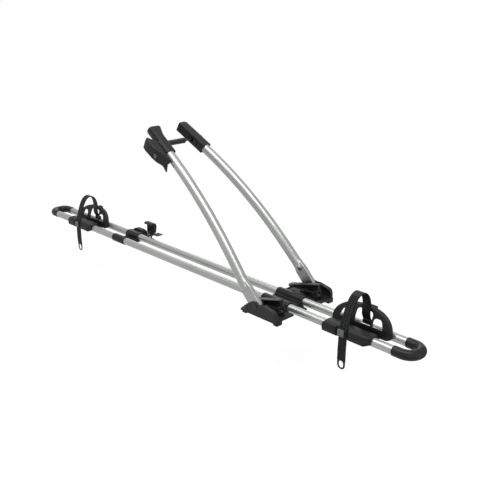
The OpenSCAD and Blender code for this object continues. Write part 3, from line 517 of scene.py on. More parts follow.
def putStudio(place):
    world = bpy.data.worlds.new("studio")
    scene.world = world
    world.use_nodes = True
    tree = world.node_tree
    dim = tree.nodes["Background"]
    dim.inputs["Color"].default_value = (1, 1, 1, 1)
    dim.inputs["Strength"].default_value = place["world"]
    white = addNode(tree, "ShaderNodeBackground", None, Color=(1, 1, 1, 1), Strength=1.0)
    mix = addNode(tree, "ShaderNodeMixShader", None, i0=whiteRays(tree), i1=dim.outputs[0],
                  i2=white.outputs[0])
    tree.links.new(mix.outputs[0], tree.nodes["World Output"].inputs["Surface"])

    for number, (at, aim, size, power) in enumerate(place["lamps"]):
        lamp = bpy.data.lights.new("softbox%d" % number, "AREA")
        lamp.shape = "RECTANGLE"
        lamp.size, lamp.size_y = size
        lamp.energy = power
        box = bpy.data.objects.new(lamp.name, lamp)
        scene.collection.objects.link(box)
        box.location = at
        aimed = np.array(aim) - np.array(at)
        pitch = math.acos(-aimed[2] / np.linalg.norm(aimed))
        box.rotation_euler = (pitch, 0, math.atan2(-aimed[0], aimed[1]))

    half = place["floorSize"] / 2
    mesh = bpy.data.meshes.new("floor")
    corners = [(-half, -half), (half, -half), (half, half), (-half, half)]
    mesh.from_pydata([(x, y, place["floor"]) for x, y in corners], [], [(0, 1, 2, 3)])
    floor = bpy.data.objects.new("floor", mesh)
    scene.collection.objects.link(floor)
    finish, tree, shader = newFinish("paleFloor")
    shader.inputs["Base Color"].default_value = (0.80, 0.80, 0.80, 1)
    shader.inputs["Roughness"].default_value = 0.95
    glow = addNode(tree, "ShaderNodeEmission", None, Color=(1, 1, 1, 1), Strength=place["floorGlow"])
    matt = addNode(tree, "ShaderNodeBsdfDiffuse", None, Color=(place["floorTone"],) * 3 + (1,))
    seen = addNode(tree, "ShaderNodeAddShader", None, i0=glow.outputs[0], i1=matt.outputs[0])
    mix = addNode(tree, "ShaderNodeMixShader", None, i0=whiteRays(tree), i1=shader.outputs[0],
                  i2=seen.outputs[0])
    tree.links.new(mix.outputs[0], tree.nodes["Material Output"].inputs["Surface"])
    mesh.materials.append(finish)


putCamera(cameraPlace)
putStudio(studio)
print("camera and studio set")


# Rail tubes and bumpers

tubeShape = {"around": 72, "rows": 24, "rim": 0.5}


def makeTube(side):
    # a lathe profile, outside and inside with eased rims, turned round the tube's axis
    r, inner, e = rail["radius"], rail["radius"] - rail["wall"], tubeShape["rim"]
    x0, x1 = rail["rear"], rail["front"]
    body = np.linspace(x0 + e, x1 - e, tubeShape["rows"])
    profile = np.concatenate([
        [(x0, inner + e / 2)], [(x0, r - e)], np.stack([body, np.full_like(body, r)], 1), [(x1, r - e)],
        [(x1, inner + e / 2)], [(x1 - e, inner)], [(x0 + e, inner)]])
    a = np.linspace(0, 2 * math.pi, tubeShape["around"], endpoint=False)
    x, radius = profile[:, :1], profile[:, 1:]
    rings = np.stack([x + 0 * a, side * rail["y"] + radius * np.cos(a), rail["z"] + radius * np.sin(a)], -1)
    piece = putMesh(sideName(side) + "RailTube", [torusSolid(rings)])
    lengthMap(piece, rings.shape[:2], (profile[:, 0] - x0, 2 * math.pi * r))
    dress(piece, "carrier", "aluminium", sideName(side) + "_tube")


bumperShape = {
    "radius": 12.0,
    "length": 57.0,
    "plug": 32.0,
    "start": 0.12,  # gap to the tube's end
    "noseEase": 1.6,  # the nose is cut flat by this much
    "rimEase": 0.9,
    "soft": 0.5,
    "around": 72,
    "facet": (28.0, 46.6),  # tilt of the flat on the nose, and its distance along that tilt
}


def makeBumper(end):
    # a round section carried along a leg, a half ring and the other leg; what passes
    # the flat nose is pressed back onto it by a soft minimum
    s = bumperShape
    ring, rim = rail["y"], s["rimEase"]
    straight = s["length"] + s["noseEase"] - s["radius"] - ring
    legX = np.concatenate([s["start"] + rim * (1 - np.cos([0, 0.6, 1.1, math.pi / 2])),
                           np.linspace(s["start"] + rim, straight, 6)[1:]])
    leg = np.stack([legX, np.full_like(legX, -ring)], 1)
    half = arc((straight, 0), ring, -90, 90, 64)[1:-1]
    path = np.concatenate([leg, half, (leg * [1, -1])[::-1]])
    size = np.full(len(path), s["radius"])
    size[:4] -= rim * (1 - np.sin([0, 0.6, 1.1, math.pi / 2]))
    size[-4:] = size[:4][::-1]
    turn = np.arctan2(path[:, 1], np.clip(path[:, 0] - straight, 0, None) + 1e-9)
    outer = np.stack([np.cos(turn), np.sin(turn)], 1)
    a = np.linspace(0, 2 * math.pi, s["around"], endpoint=False)
    flat = path[:, None] + outer[:, None] * (size[:, None] * np.cos(a))[..., None]
    rings = np.concatenate([flat, (size[:, None] * np.sin(a))[..., None]], 2)
    over = rings[..., 0] - s["length"]
    rings[..., 0] -= s["soft"] * np.log1p(np.exp(np.clip(over / s["soft"], -30, 30)))
    tilt, reach = s["facet"]
    facing = np.array([math.cos(math.radians(tilt)), 0, math.sin(math.radians(tilt))])
    rings -= np.clip(rings @ facing - reach, 0, None)[..., None] * facing
    flip = 1 if end > 0 else -1
    at = np.array([rail["front"] if end > 0 else rail["rear"], 0, rail["z"]])
    body = ringSolid(rings * np.array([flip, 1, 1]) + at)
    plugs = [rod(at + [-flip * s["plug"], y * ring, 0], at + [flip * 2, y * ring, 0],
                 rail["radius"] - rail["wall"] - 0.1) for y in (-1, 1)]
    way = "front" if end > 0 else "rear"
    dress(putMesh(way + "Bumper", [body] + plugs), "carrier", "end_plastic", way + "_bumper")


for side in (-1, 1):
    makeTube(side)
    makeBumper(side)
print("rail made")


# Frame arms

armShape = {
    "pivot": (-10.0, 31.0),
    "y": 97.3,
    "lowTilt": 46.0,
    "topTilt": 30.0,
    "toe": 6.5,
    "bendRadius": 1300.0,
    "straight": 57.0,
    "tubeStart": 62.0,
    "radius": 13.0,
    "flatWide": 17.5,
    "flatThick": 5.5,
    "flatOff": -3.4,
    "noseRadius": 14.0,
    "tongue": 40.0,  # how far down the flattened end the round side reaches
    "tongueLean": 20.0,
    "step": 13.0,
    "slotBack": 46.0,  # from the top end to the long hole's middle
    "holeAt": 50.0,  # from the pivot to the small hole
    "around": 96,
}


def armPath(count):
    # length along the arm, its points on the left and the two directions across it:
    # flattened end in the upright plane, then straight, then the gentle bend, both in
    # the plane that leans in
    s = armShape
    low, top, toe = (math.radians(s[k]) for k in ("lowTilt", "topTilt", "toe"))
    bend = s["bendRadius"] * (low - top)
    total = s["tubeStart"] + s["straight"] + bend
    t = np.concatenate([np.linspace(-s["noseRadius"] + 0.02, 96, 150), np.linspace(98, total, count)])
    past = np.clip(t - s["tubeStart"] - s["straight"], 0, None)
    angle = low - past / s["bendRadius"]
    flat = np.minimum(t - s["tubeStart"], s["straight"])
    along = flat * math.cos(low) + s["bendRadius"] * (math.sin(low) - np.sin(angle))
    up = flat * math.sin(low) + s["bendRadius"] * (np.cos(angle) - math.cos(low))
    lean = np.where(t > s["tubeStart"], toe, 0)
    foot = np.array([
        s["pivot"][0] - s["tubeStart"] * math.cos(low) - s["flatOff"] * -math.sin(low), s["y"],
        s["pivot"][1] + s["tubeStart"] * math.sin(low) + s["flatOff"] * math.cos(low)])
    points = foot + np.stack([-along * np.cos(lean), -along * np.sin(lean), up], 1)
    ahead = np.stack([-np.cos(angle) * np.cos(lean), -np.cos(angle) * np.sin(lean), np.sin(angle)], 1)
    outer = np.stack([-np.sin(lean), np.cos(lean), 0 * lean], 1)
    over = np.cross(ahead, outer)
    return t, points, ahead, outer, over


def makeArm(side):
    # a section that is flat and wide at the foot and turns round further up; the round
    # side reaches down the flat face as a tongue
    s = armShape
    t, points, ahead, outer, over = armPath(60)
    a = np.linspace(0, 2 * math.pi, s["around"], endpoint=False)[None]
    t = t[:, None]
    start = s["tongue"] + s["tongueLean"] * np.sin(a) ** 2
    share = smoothStep(np.clip((t - start) / s["step"], 0, 1))
    widthShare = smoothStep(np.clip((t - 40) / 34, 0, 1))
    half = s["flatWide"] + (s["radius"] - s["flatWide"]) * widthShare
    nose = np.clip(t / s["noseRadius"], -1, 0)
    noseHalf = s["noseRadius"] * np.sqrt(np.maximum(1 - nose ** 2, 0))
    grown = np.clip(t / 14, 0, 1) ** 0.8
    half = np.where(t < 0, noseHalf, s["noseRadius"] + (half - s["noseRadius"]) * grown)
    off = np.where(t < 14, s["flatOff"] * (1 - np.clip(t / 14, 0, 1)), 0)
    cosine, sine = np.cos(a), np.sin(a)
    flatShare = np.minimum(1, np.abs(cosine) * half / s["flatThick"] * 0.9)
    flatY = s["flatThick"] * np.sign(cosine) * flatShare ** 0.7
    roundY = s["radius"] * cosine
    y = flatY + (roundY - flatY) * share
    z = half * np.sign(sine) * np.abs(sine) ** (1 - 0.12 * (1 - share)) - off
    rings = points[:, None] + y[..., None] * outer[:, None] + z[..., None] * over[:, None] * -1
    rings = rings * np.array([1, side, 1])
    name = sideName(side) + "Arm"
    piece = putMesh(name, [ringSolid(rings)], 55)
    lengthMap(piece, rings.shape[:2], (t[:, 0], 2 * math.pi * s["radius"]))
    # long hole in the outer side near the top, small one in the inner side of the step
    top, low = np.searchsorted(t[:, 0], [t[-1, 0] - s["slotBack"], s["holeAt"]])
    rows, at = [ahead[top], outer[top], over[top]], points[top]
    slot = slab(rounded([(-6, 0), (6, 0), (6, 5.2), (-6, 5.2)], 2.5), "side", 2, 20, 0.2)
    cuts = [moved(slot, rows, at),
            rod(points[low] - 20 * outer[low], points[low] - outer[low], 1.6, 0.1, 20)]
    carved(piece, [sided(cut, side) for cut in cuts])
    dress(piece, "arms", "arm_aluminium", sideName(side) + "_arm")
    # painted shade: dark rubber plates set into the holes, a little below the rim, stand for the shade inside
    # the hollow arm
    floor = slab(rounded([(-6.4, -0.4), (6.4, -0.4), (6.4, 5.6), (-6.4, 5.6)], 2.8), "side", 8, 11.5, 0.3)
    paintedShade = [moved(floor, rows, at),
            rod(points[low] - 5 * outer[low], points[low] - outer[low], 2.0, 0.2, 20)]
    dress(putMesh(name + "Inside", [sided(solid, side) for solid in paintedShade]), "arms", "black_plastic",
          finish="rubber")


for side in (-1, 1):
    makeArm(side)
print("arms made")


# Front base

base = {
    "half": 60.0,
    "rear": -57.0,
    "clampLong": 87.0,
    "clampSide": 46.5,
    "wingLow": 9.5,
    "wingHigh": 13.0,
    "cheekIn": 103.6,
    "cheekOut": 107.0,
    "cheekHigh": 42.0,
    "pivot": armShape["pivot"],
}


def makeFrontBase():
    # a block under the clamps, a toothed tongue, two thin wings with rims and feet
    b = base
    front = b["rear"] + b["clampLong"]
    solids = [block((b["rear"], -b["clampSide"], 3.0), (front, b["clampSide"], 14.9), 1.2),
              block((front - 2, -12, 4), (front + 23, 12, 8.2), 0.8)]
    solids += [block((front + 1.5 + 4 * i, -12, 6), (front + 3.9 + 4 * i, 12, 10.6), 0.7) for i in range(5)]
    cuts = [rod((b["rear"] - 9, y * rail["y"], rail["z"]), (front + 9, y * rail["y"], rail["z"]),
                rail["radius"] + 0.1, 0.1) for y in (-1, 1)]
    for side in (-1, 1):
        wing = rounded([(-b["half"], 42), (b["half"], 42), (b["half"], b["cheekIn"] - 0.2),
                        (-b["half"], b["cheekIn"] - 0.2)], [2, 5, 1, 1])
        low, high, y = b["wingLow"], b["wingHigh"], b["cheekIn"]
        parts = [slab(wing, "plan", low, high, 0.9),
                 block((b["half"] - 3.4, 46, low), (b["half"], y - 9, high + 1.8), 0.9),
                 block((-b["half"], 46, low), (-b["half"] + 4, y - 9, 15.5), 0.9),
                 rod((50, 60, 11), (50, 60, 15.2), 5.0, 0.8)]
        for x in (b["half"] - 14, -b["half"] + 3):
            parts.append(block((x, y - 19, 0), (x + 14, y - 0.2, low + 1), 1.0))
        solids += [sided(part, side) for part in parts]
        cuts += [sided(rod((-37, 59, 0), (-37, 59, 20), 4.25, 0.1), side),
                 sided(rod((37, 68, 0), (37, 68, 20), 3.1, 0.1), side)]
    piece = moulded("frontBaseMoulding", solids, cuts, 0.9, 2)
    dress(piece, "carrier", "black_plastic", "front_base")


def makeClamp(side):
    # section of half a plain shell over the tube, with a narrow flange on each side
    r = rail["radius"] + 0.1
    edge = np.array([(17.5, 0), (17.5, 2.0), (14.6, 2.6)])
    outer = np.concatenate([edge, arc((0, 0), 13.9, 14, 166, 24), (edge * [-1, 1])[::-1]])
    outline = np.concatenate([outer, arc((0, 0), r, 180, 0, 24)]) + [0, 0.1]
    shell = slab(outline, "across", base["rear"], base["rear"] + base["clampLong"], 1.3)
    piece = moulded(sideName(side) + "Clamp", [shell], (), 0.6, 3, at=(0, side * rail["y"], rail["z"]))
    dress(piece, "carrier", "black_plastic", sideName(side) + "_clamp", finish="clamp")


def cheekOutline(lip=True):
    # steep behind with a low lip, domed over the pivot, falling gently to the front
    b = base
    top, px = b["cheekHigh"], b["pivot"][0]
    behind = [(-43.5, 12), (-43.5, 6.2)]
    if lip:
        behind = np.concatenate([[(-43.5, 17.5)], arc((-47, 17), 3.5, 0, -70, 3)[1:],
                                 [(-58.5, 12.2), (-60, 10.5), (-60, 6.2)]])
    return np.concatenate([
        [(60, 6.2), (60, 16)], arc((38, top - 27), 22, 2, 66, 10), [(16, top - 1)],
        arc((px, top - 34), 34, 68, 118, 10), [(-40, 29)], behind])


def makeCheek(side):
    # an upright plate with a thick front rim and a raised border round its outer face
    b = base
    outline = rounded(cheekOutline(), 1.2, 2)
    plate = slab(outline, "side", b["cheekIn"], b["cheekOut"], (0.8, 2.2), 4)
    rim = slab(outline, "side", b["cheekIn"] - 8, b["cheekOut"] - 1, (1.2, 0.2))
    room = slab(pulledIn(outline, 4.2), "side", b["cheekIn"] - 20, b["cheekIn"] + 0.2, 0.2)
    face = slab(pulledIn(rounded(cheekOutline(False), 1.2, 2), 4.4), "side", b["cheekOut"] - 0.7, 120, 0.3)
    behind = block((-80, 80, 0), (b["pivot"][0] + 27, b["cheekIn"] + 0.2, 60), 0.2)
    under = block((-80, 80, -5), (80, b["cheekIn"], b["wingHigh"] + 0.1), 0.2)
    px, pz = b["pivot"]
    cuts = [room, behind, under, face, rod((px, b["cheekOut"] - 1.6, pz), (px, 120, pz), 6.3, 0.1),
            rod((px, 90, pz), (px, 120, pz), 4.1, 0.1),
            block((-41, b["cheekOut"] - 1.3, 18.5), (-38.2, 120, 31), 0.4)]
    piece = moulded(sideName(side) + "Cheek", [sided(solid, side) for solid in (plate, rim)],
                    [sided(cut, side) for cut in cuts], 0.7, 3)

    def noseIn(p):
        # the front end turns in along a circle, the outer face most
        d = np.clip(p[:, 0] - 48.5, 0, 11.4)
        share = np.clip((np.abs(p[:, 1]) - b["cheekIn"] + 8) / 11.4, 0, 1)
        p[:, 1] -= side * share * (12 - np.sqrt(144 - d ** 2))
        return p

    reshaped(piece, noseIn)
    dress(piece, "carrier", "black_plastic", sideName(side) + "_cheek", finish="cheek")


makeFrontBase()
for side in (-1, 1):
    makeClamp(side)
    makeCheek(side)
print("front base made")


# Quick levers of the base

leverShape = {
    "pin": (37.0, 68.0, 21.5),
    "long": 93.0,
    "heel": 31.5,
    "paddle": 13.0,
    "strip": 2.5,
    "legGap": 4.0,
    "legOut": 10.0,
    "camDrop": -1.5,
    "camRadius": 6.5,
    "web": 2.0,
}


def makeBaseLever(side):
    # drawn about its pin: forked legs, an upright rib at the heel, a sloping top that
    # widens to a round paddle, a web and a strip that bends down into the legs
    s = leverShape
    back, low = -s["long"], s["strip"]
    solids, cuts = [], []
    legIn, legOut, camZ = s["legGap"] + 0.1, s["legOut"], s["camDrop"]
    cam = rod((0, legIn, camZ), (0, legOut, camZ), s["camRadius"], 0.6)
    shin = slab(rounded([(-6.4, -1), (6.4, -1), (5.2, 9), (3.5, 13.5), (-3.5, 13.5), (-6.4, 7)], 1.5), "side",
                legIn, legOut, 0.8)
    for leg in (-1, 1):
        solids += [sided(cam, leg), sided(shin, leg)]
    solids.append(block((-4, -s["legOut"], 9.5), (5.2, s["legOut"], 13.8), 1.4))
    heel = rounded([(-1.5, 11), (4.2, 11), (4.2, s["heel"] - 4), (2.2, s["heel"]), (-5, s["heel"]),
                    (-3.2, 20)], 1.2)
    solids.append(slab(heel, "side", -5, 5, 1.2))
    strip = np.concatenate([
        [(back + 22, low), (-14, low)], arc((-14, low - 8), 8, 90, 20, 5)[1:] + [1.5, 0.6],
        [(-3.5, -3), (-3.5, 10)], arc((-13, low + 3.4 - 9), 12.4, 50, 90, 4), [(back + 22, low + 3)]])
    solids.append(slab(strip, "side", -s["legOut"] + 1.5, s["legOut"] - 1.5, 0.8))
    cuts.append(block((-30, -s["legGap"], -20), (30, s["legGap"], 9.4), 0.3))
    web = [(3, 10), (3, s["heel"] - 2), (0, s["heel"] - 2), (back + 28, low + 8), (back + 26, low + 1),
           (-8, low + 1)]
    solids.append(slab(np.array(web), "side", -s["web"], s["web"], 0.6))
    # the sloping top: half width falls from the paddle to the heel
    t = np.linspace(0, 1, 24)[:, None]
    x = back + 13 + (4.2 - back - 13) * t
    topZ = low + 7.0 + (s["heel"] - low - 7.0) * np.minimum(1, t * 1.04)
    half = 9.8 - 1.9 * t
    thick = 3.4
    sect = rounded([(-1, 0), (1, 0), (1, -1), (-1, -1)], [0.25, 0.25, 0.3, 0.3], 3)[None]
    rings = np.stack([np.broadcast_to(x, (24, sect.shape[1])), half * sect[..., 0],
                      topZ + thick * sect[..., 1]], -1)
    solids.append(ringSolid(rings))
    pad = arc((0, 0), s["paddle"], 0, 360, 40)[:-1]
    paddle = slab(pad, "plan", 1.4, 7.4, 2.2, 4)
    c, d = math.cos(math.radians(9)), math.sin(math.radians(9))
    solids.append(moved(paddle, [[c, 0, d], [0, 1, 0], [-d, 0, c]], (back + s["paddle"], 0, 1.2)))
    throat = rounded([(back + 12, low + 4.2), (back + 14, low), (back + 30, low), (back + 46, low + 8),
                      (back + 44, low + 13), (back + 24, low + 8)], 2.0)
    solids.append(slab(throat, "side", -8.5, 8.5, 2.2))
    cuts.append(rod((0, -30, 0), (0, 30, 0), 2.6, 0.1))
    at = np.array(s["pin"]) * [1, side, 1]
    piece = moulded(sideName(side) + "BaseLever", solids, cuts, 0.6, 3, at=at)
    dress(piece, sideName(side) + "_lever", "lever_plastic", sideName(side) + "_base_lever")


for side in (-1, 1):
    makeBaseLever(side)
print("base levers made")


# Wheel trays

tray = {
    "front": 206.0,
    "pitch": 1102.0,
    "back": -64.0,
    "ahead": 76.0,
    "wall": 4.5,
    "slot": 10.6,
    "strapY": -41.7,
    "buttonX": -5.0,
}


def saddleSection():
    # section across the rail tube: wraps it outside, over and inside
    y, z, o = -rail["y"], rail["z"], rail["radius"] + tray["wall"]
    points = np.concatenate([
        [(y - o - 3.5, z + 3)], arc((y - o + 8, z + 3), 11.5, 175, 110, 6),
        [(y - 2, z + o), (y + 6, z + o - 1.0), (y + 16.5, z + 11.5), (y + 17.5, z - 7), (y + 2, z - 13),
         (y - o + 2, z - 13.5), (y - o - 2, z - 11), (y - o - 3.5, z - 6)]])
    return points[::-1]


def makeSaddle(x, name, body, node):
    y, z = -rail["y"], rail["z"]
    t = tray
    front = y - rail["radius"] - t["wall"] - 4
    main = slab(rounded(saddleSection(), 3.0, 3), "across", t["back"], t["ahead"] - 5, (5.0, 3.0), 5)
    foot = block((-46, y + rail["radius"] + 3, z - 8), (64, 5.6, z - 2), 1.2)
    slotDeep = t["strapY"] + 2.1
    # the slot in plan: the block behind it ends round, the one before it with a bevel
    s0, s1 = -t["slot"] - 11.0, t["slot"]
    slot = np.concatenate([
        [(s1, slotDeep), (s0, slotDeep)], arc((s0 - 5, front + 5.5), 5, 0, -90, 6),
        [(s0 - 5, front - 12), (s1 + 4.5, front - 12), (s1 + 4.5, front - 0.5), (s1, front + 4.5)]])
    cuts = [rod((-120, y, z), (120, y, z), rail["radius"] + 0.1, 0.1), slab(slot, "plan", -40, 60, 0.2)]
    # side views: the top slopes at the back, falls away to the front, and the underside rises
    back, ahead = t["back"], t["ahead"]
    for outline in (
            [(-90, 60), (-90, z + 8), (back, z + 6), (back + 7, z + 13.5), (-50, 60)],
            [(95, 60), (95, z + 12.5), (ahead - 8, z + 12.8), (ahead - 22, z + 13.6), (34, z + 16),
             (16, z + 19), (16, 60)],
            [(95, -30), (95, z - 3), (ahead - 4, z - 3), (ahead - 14, z - 7.5), (50, z - 13.4), (50, -30)]):
        cuts.append(slab(outline, "side", -90, 30, 0.2))
    # plan: the outer side tapers to the tube in front
    taper = [(ahead - 30, front - 12), (ahead - 30, front - 0.5), (ahead - 17, front + 2.4),
             (ahead - 5, front + 5.6), (ahead + 14, front + 5.6), (ahead + 14, front - 12)]
    cuts.append(slab(taper, "plan", -40, 60, 0.2))
    dress(moulded(name, [main, foot], cuts, 0.75, 4, at=(x, 0, 0)), body, "black_plastic", node)


def makeButton(x, name, body, node):
    t = tray
    y = t["strapY"] - 1.5 - 1.6
    low, high = t["buttonX"] - 8.5, t["buttonX"] + 8.5
    face = slab(rounded([(low, 8), (high, 8), (high, 25), (low, 25)], 1.4), "side", y - 3.4, y, (1.0, 0.5))
    dress(putMesh(name, [moved(face, None, (x, 0, 0))]), body, "grey_plastic", node)


guard = {
    "half": 82.0,
    "high": 59.0,
    "thick": 3.0,
    "rim": 9.0,
    "curl": 100.0,
    "y": 6.0,
    "shift": 9.0,
    "power": 0.82,
    "foot": 10.0,  # the widest place stands this high, below it the outline turns in
    "windows": [(3.0, 45.0, 31.0, 0.0), (44.5, 29.0, 21.0, -8.0), (-49.0, 26.0, 20.0, 8.0)],
}


def guardOutline(inset):
    # nearly half an ellipse, from powers of cosine and sine; its feet turn in again
    a = np.radians(np.linspace(-36, 216, 85))
    c, s = np.cos(a), np.sin(a)
    g = guard
    high = np.where(s > 0, g["high"] - g["foot"] - inset, (g["foot"] + 0.1) / 0.65)
    return np.stack([(g["half"] - inset) * np.sign(c) * np.abs(c) ** g["power"],
                     g["foot"] + high * np.sign(s) * np.abs(s) ** g["power"]], 1)


def windowOutline(x, wide, high, lean):
    # an arch that leans towards the guard's middle
    shift = np.array([(0, 0), (0, 0), (min(0, lean), 0), (max(0, lean), 0)])
    left, right = x - wide / 2, x + wide / 2
    box = np.array([(left, 20), (right, 20), (right, 20 + high), (left, 20 + high)])
    return rounded(box + shift, [2.5, 2.5, 9, 9], 6)


def makeGuard(x, name, body, node):
    # a flat plate with a thick rim and windows, then sheared outwards along a circle
    g = guard
    z0 = rail["z"] - 7
    plate = slab(guardOutline(0), "side", g["y"], g["y"] + g["rim"], (2.4, 1.2), 4)
    room = slab(guardOutline(3.2) - [0, 2], "side", g["y"] + g["thick"] + 0.6, g["y"] + 30, 0.2)
    keeper = block((4, g["y"] + 4.6, g["high"] - 8), (27, g["y"] + 7.4, g["high"] + 3.2), 1.0)
    cuts = [room] + [slab(windowOutline(*w), "side", -5, 40, 0.2) for w in g["windows"]]
    piece = moulded(name, [plate, keeper], cuts, 0.7, 4, at=(x + g["shift"], 0, z0))

    def curled(p):
        rise = np.clip(p[:, 2] - z0, 0, g["curl"] * 0.9)
        p[:, 1] += g["curl"] - np.sqrt(g["curl"] ** 2 - rise ** 2)
        return p

    reshaped(piece, curled)
    dress(piece, body, "guard_plastic", node)


strapShape = {
    "wide": 23.0,
    "thick": 3.0,
    "tooth": 4.5,
    "toothDeep": 1.3,
    "zigWide": 7.6,  # width of one zigzag of a tooth row, and how far it swings
    "zigDeep": 2.0,
    "columns": 41,
    "smooth": 22.0,  # length of the tail's smooth end
    "teeth": (25.0, 186.0),  # from above the tail's hole to just before the loop's top
    "far": 16.0,
    "line": [(3, -92), (2, -69), (0.5, -45), (0, -20), (0, 2), (2.5, 18), (6.5, 36), (11.5, 56),
             (19, 75), (28, 87.5), (38, 92.5), (48, 89.5), (55, 80), (58, 66), (58, 52), (57.6, 41),
             (59, 31), (64, 21)],
}


def smoothLine(points, step):
    # a Catmull-Rom curve through the points, then read off at equal steps
    p = np.array(points, float)
    p = np.concatenate([[2 * p[0] - p[1]], p, [2 * p[-1] - p[-2]]])
    t = np.linspace(0, 1, 20, endpoint=False)[None, :, None]
    a, b, c, d = (p[k:len(p) - 3 + k][:, None] for k in range(4))
    curve = 0.5 * (2 * b + (c - a) * t + (2 * a - 5 * b + 4 * c - d) * t ** 2
                   + (3 * b - a - 3 * c + d) * t ** 3)
    curve = np.concatenate([curve.reshape(-1, p.shape[1]), p[-2:-1]])
    far = np.concatenate([[0], np.cumsum(np.linalg.norm(np.diff(curve, axis=0), axis=1))])
    even = np.linspace(0, far[-1], int(far[-1] / step) + 1)
    return even, np.stack([np.interp(even, far, curve[:, k]) for k in range(p.shape[1])], 1)


def makeStrap(x, name, body, node):
    # a flat section carried along the loop; chevron teeth stand on its outer side
    s = strapShape
    lean = [i - 5.5 if i < 5 else (s["far"] + 1.5) * min(1, (i - 5) / 8) - 1.5 for i in range(len(s["line"]))]
    line = [(l, tray["strapY"] + y, rail["z"] + z) for l, (y, z) in zip(lean, s["line"])]
    far, path = smoothLine(line, 0.5)
    ahead = np.gradient(path[:, 1:], axis=0)
    ahead /= np.linalg.norm(ahead, axis=1, keepdims=True)
    outer = np.stack([-ahead[:, 1], ahead[:, 0]], 1)
    count, half = s["columns"], s["wide"] / 2
    cols = np.linspace(-1, 1, count)
    across = np.concatenate([cols * (half - 0.4), [half], (cols * (half - 0.4))[::-1], [-half]])
    top = np.concatenate([np.ones(count), [0], -np.ones(count), [0]])
    # rows of teeth that zigzag across: a triangle wave along the path, its start moved
    # by a triangle wave across the strap; crests and valleys are flattened
    zig = np.abs((np.abs(across) / s["zigWide"] % 1) * 2 - 1) * s["zigDeep"]
    wave = np.abs(((far[:, None] + zig[None]) / s["tooth"] % 1) * 2 - 1)
    wave = np.clip((wave - 0.3) / 0.45, 0, 1)
    start, stop = s["teeth"]
    fade = np.clip((far - start) / 1.0, 0, 1) * np.clip((stop - far) / 4.0, 0, 1)
    inside = np.clip((half - 1.0 - np.abs(across)) / 0.5, 0, 1)
    lift = s["toothDeep"] * (wave * inside - 1) * fade[:, None] * (top > 0) * inside
    offset = top * (s["thick"] / 2 - 0.15) + lift
    rings = np.stack([
        path[:, :1] + across[None] + 0 * offset,
        path[:, 1:2] + outer[:, :1] * offset,
        path[:, 2:3] + outer[:, 1:] * offset], -1)
    band = ringSolid(rings[far >= s["smooth"]])
    # the smooth end of the tail with its long finger hole
    tip = np.concatenate([arc((0, 11), 11, 180, 360, 16), [(11.3, 27), (-11.3, 27)]])
    hole = np.concatenate([arc((0, 10.4), 6.4, 180, 360, 12), arc((0, 15.6), 6.4, 0, 180, 12)])
    outerRing = slab(tip, "side", -1.2, 1.2, 0.7)
    holeRod = slab(hole, "side", -6, 6, 0.1)
    run = (path[50] - path[0]) / np.linalg.norm(path[50] - path[0])
    side = np.array([1.0, 0, 0]) - run * run[0]
    side /= np.linalg.norm(side)
    turn = [side, np.cross(run, side), run]
    tail = moulded(name + "Tail", [outerRing], [holeRod], 0.5, 2, turn, path[0] + [x, 0, 0])
    piece = putMesh(name, [moved(band, None, (x, 0, 0))], 60)
    with bpy.context.temp_override(active_object=piece, selected_editable_objects=[piece, tail]):
        bpy.ops.object.join()
    dress(piece, body, "strap_plastic", node)


def makeAnchor(x, name, body, node):
    # the block that holds the strap's far end, on top of the left tube
    y, z = tray["strapY"] + 64, rail["z"]
    piece = moulded(name, [block((x + 4, y - 2.4, z + 9.8), (x + 27, y + 7.3, z + 19.8), 1.2)], (), 0.7, 3)
    dress(piece, body, "black_plastic", node)


for way, x in (("front", tray["front"]), ("rear", tray["front"] - tray["pitch"])):
    body = way + "_tray"
    makeSaddle(x, way + "Saddle", body, way + "_tray_saddle")
    makeGuard(x, way + "Guard", body, way + "_wheel_guard")
    makeStrap(x, way + "Strap", body, way + "_strap")
    makeButton(x, way + "Button", way + "_button", way + "_button")
    makeAnchor(x, way + "Anchor", body, way + "_strap_anchor")
print("trays made")


# Clamp heads and their lever

headShape = {
    "end": (-378.164, 60.539, 337.017),
    "tilt": armShape["topTilt"],
    "toe": armShape["toe"],
    "long": 102.0,
    "deep": 27.0,
    "wide": 28.0,
    "fin": 8.0,
    "rod": 38.0,
    "flareFrom": 58.0,
    "flareLong": 42.0,
    "flareWide": 8.5,
}


def headFrame(side):
    # rows: up along the head, towards the other arm, square to both
    up, toe = math.radians(headShape["tilt"]), math.radians(headShape["toe"])
    along = [-math.cos(up) * math.cos(toe), -math.cos(up) * math.sin(toe), math.sin(up)]
    inward = [math.sin(toe), -math.cos(toe), 0]
    over = [math.sin(up) * math.cos(toe), math.sin(up) * math.sin(toe), math.cos(up)]
    flip = np.array([1, side, 1])
    return np.array([along, inward, over]) * flip, np.array(headShape["end"]) * flip


def flare(x):
    # how far the right head's inner side spreads, at x along the head
    s = headShape
    return s["flareWide"] * smoothStep(np.clip((x - s["flareFrom"]) / s["flareLong"], 0, 1))


def alongFlare(x0, x1, low, high):
    # plan outline between two lines; both lines may follow the flare
    x = np.linspace(x0, x1, 14)
    return np.concatenate([np.stack([x, low(x)], 1), np.stack([x, high(x)], 1)[::-1]])


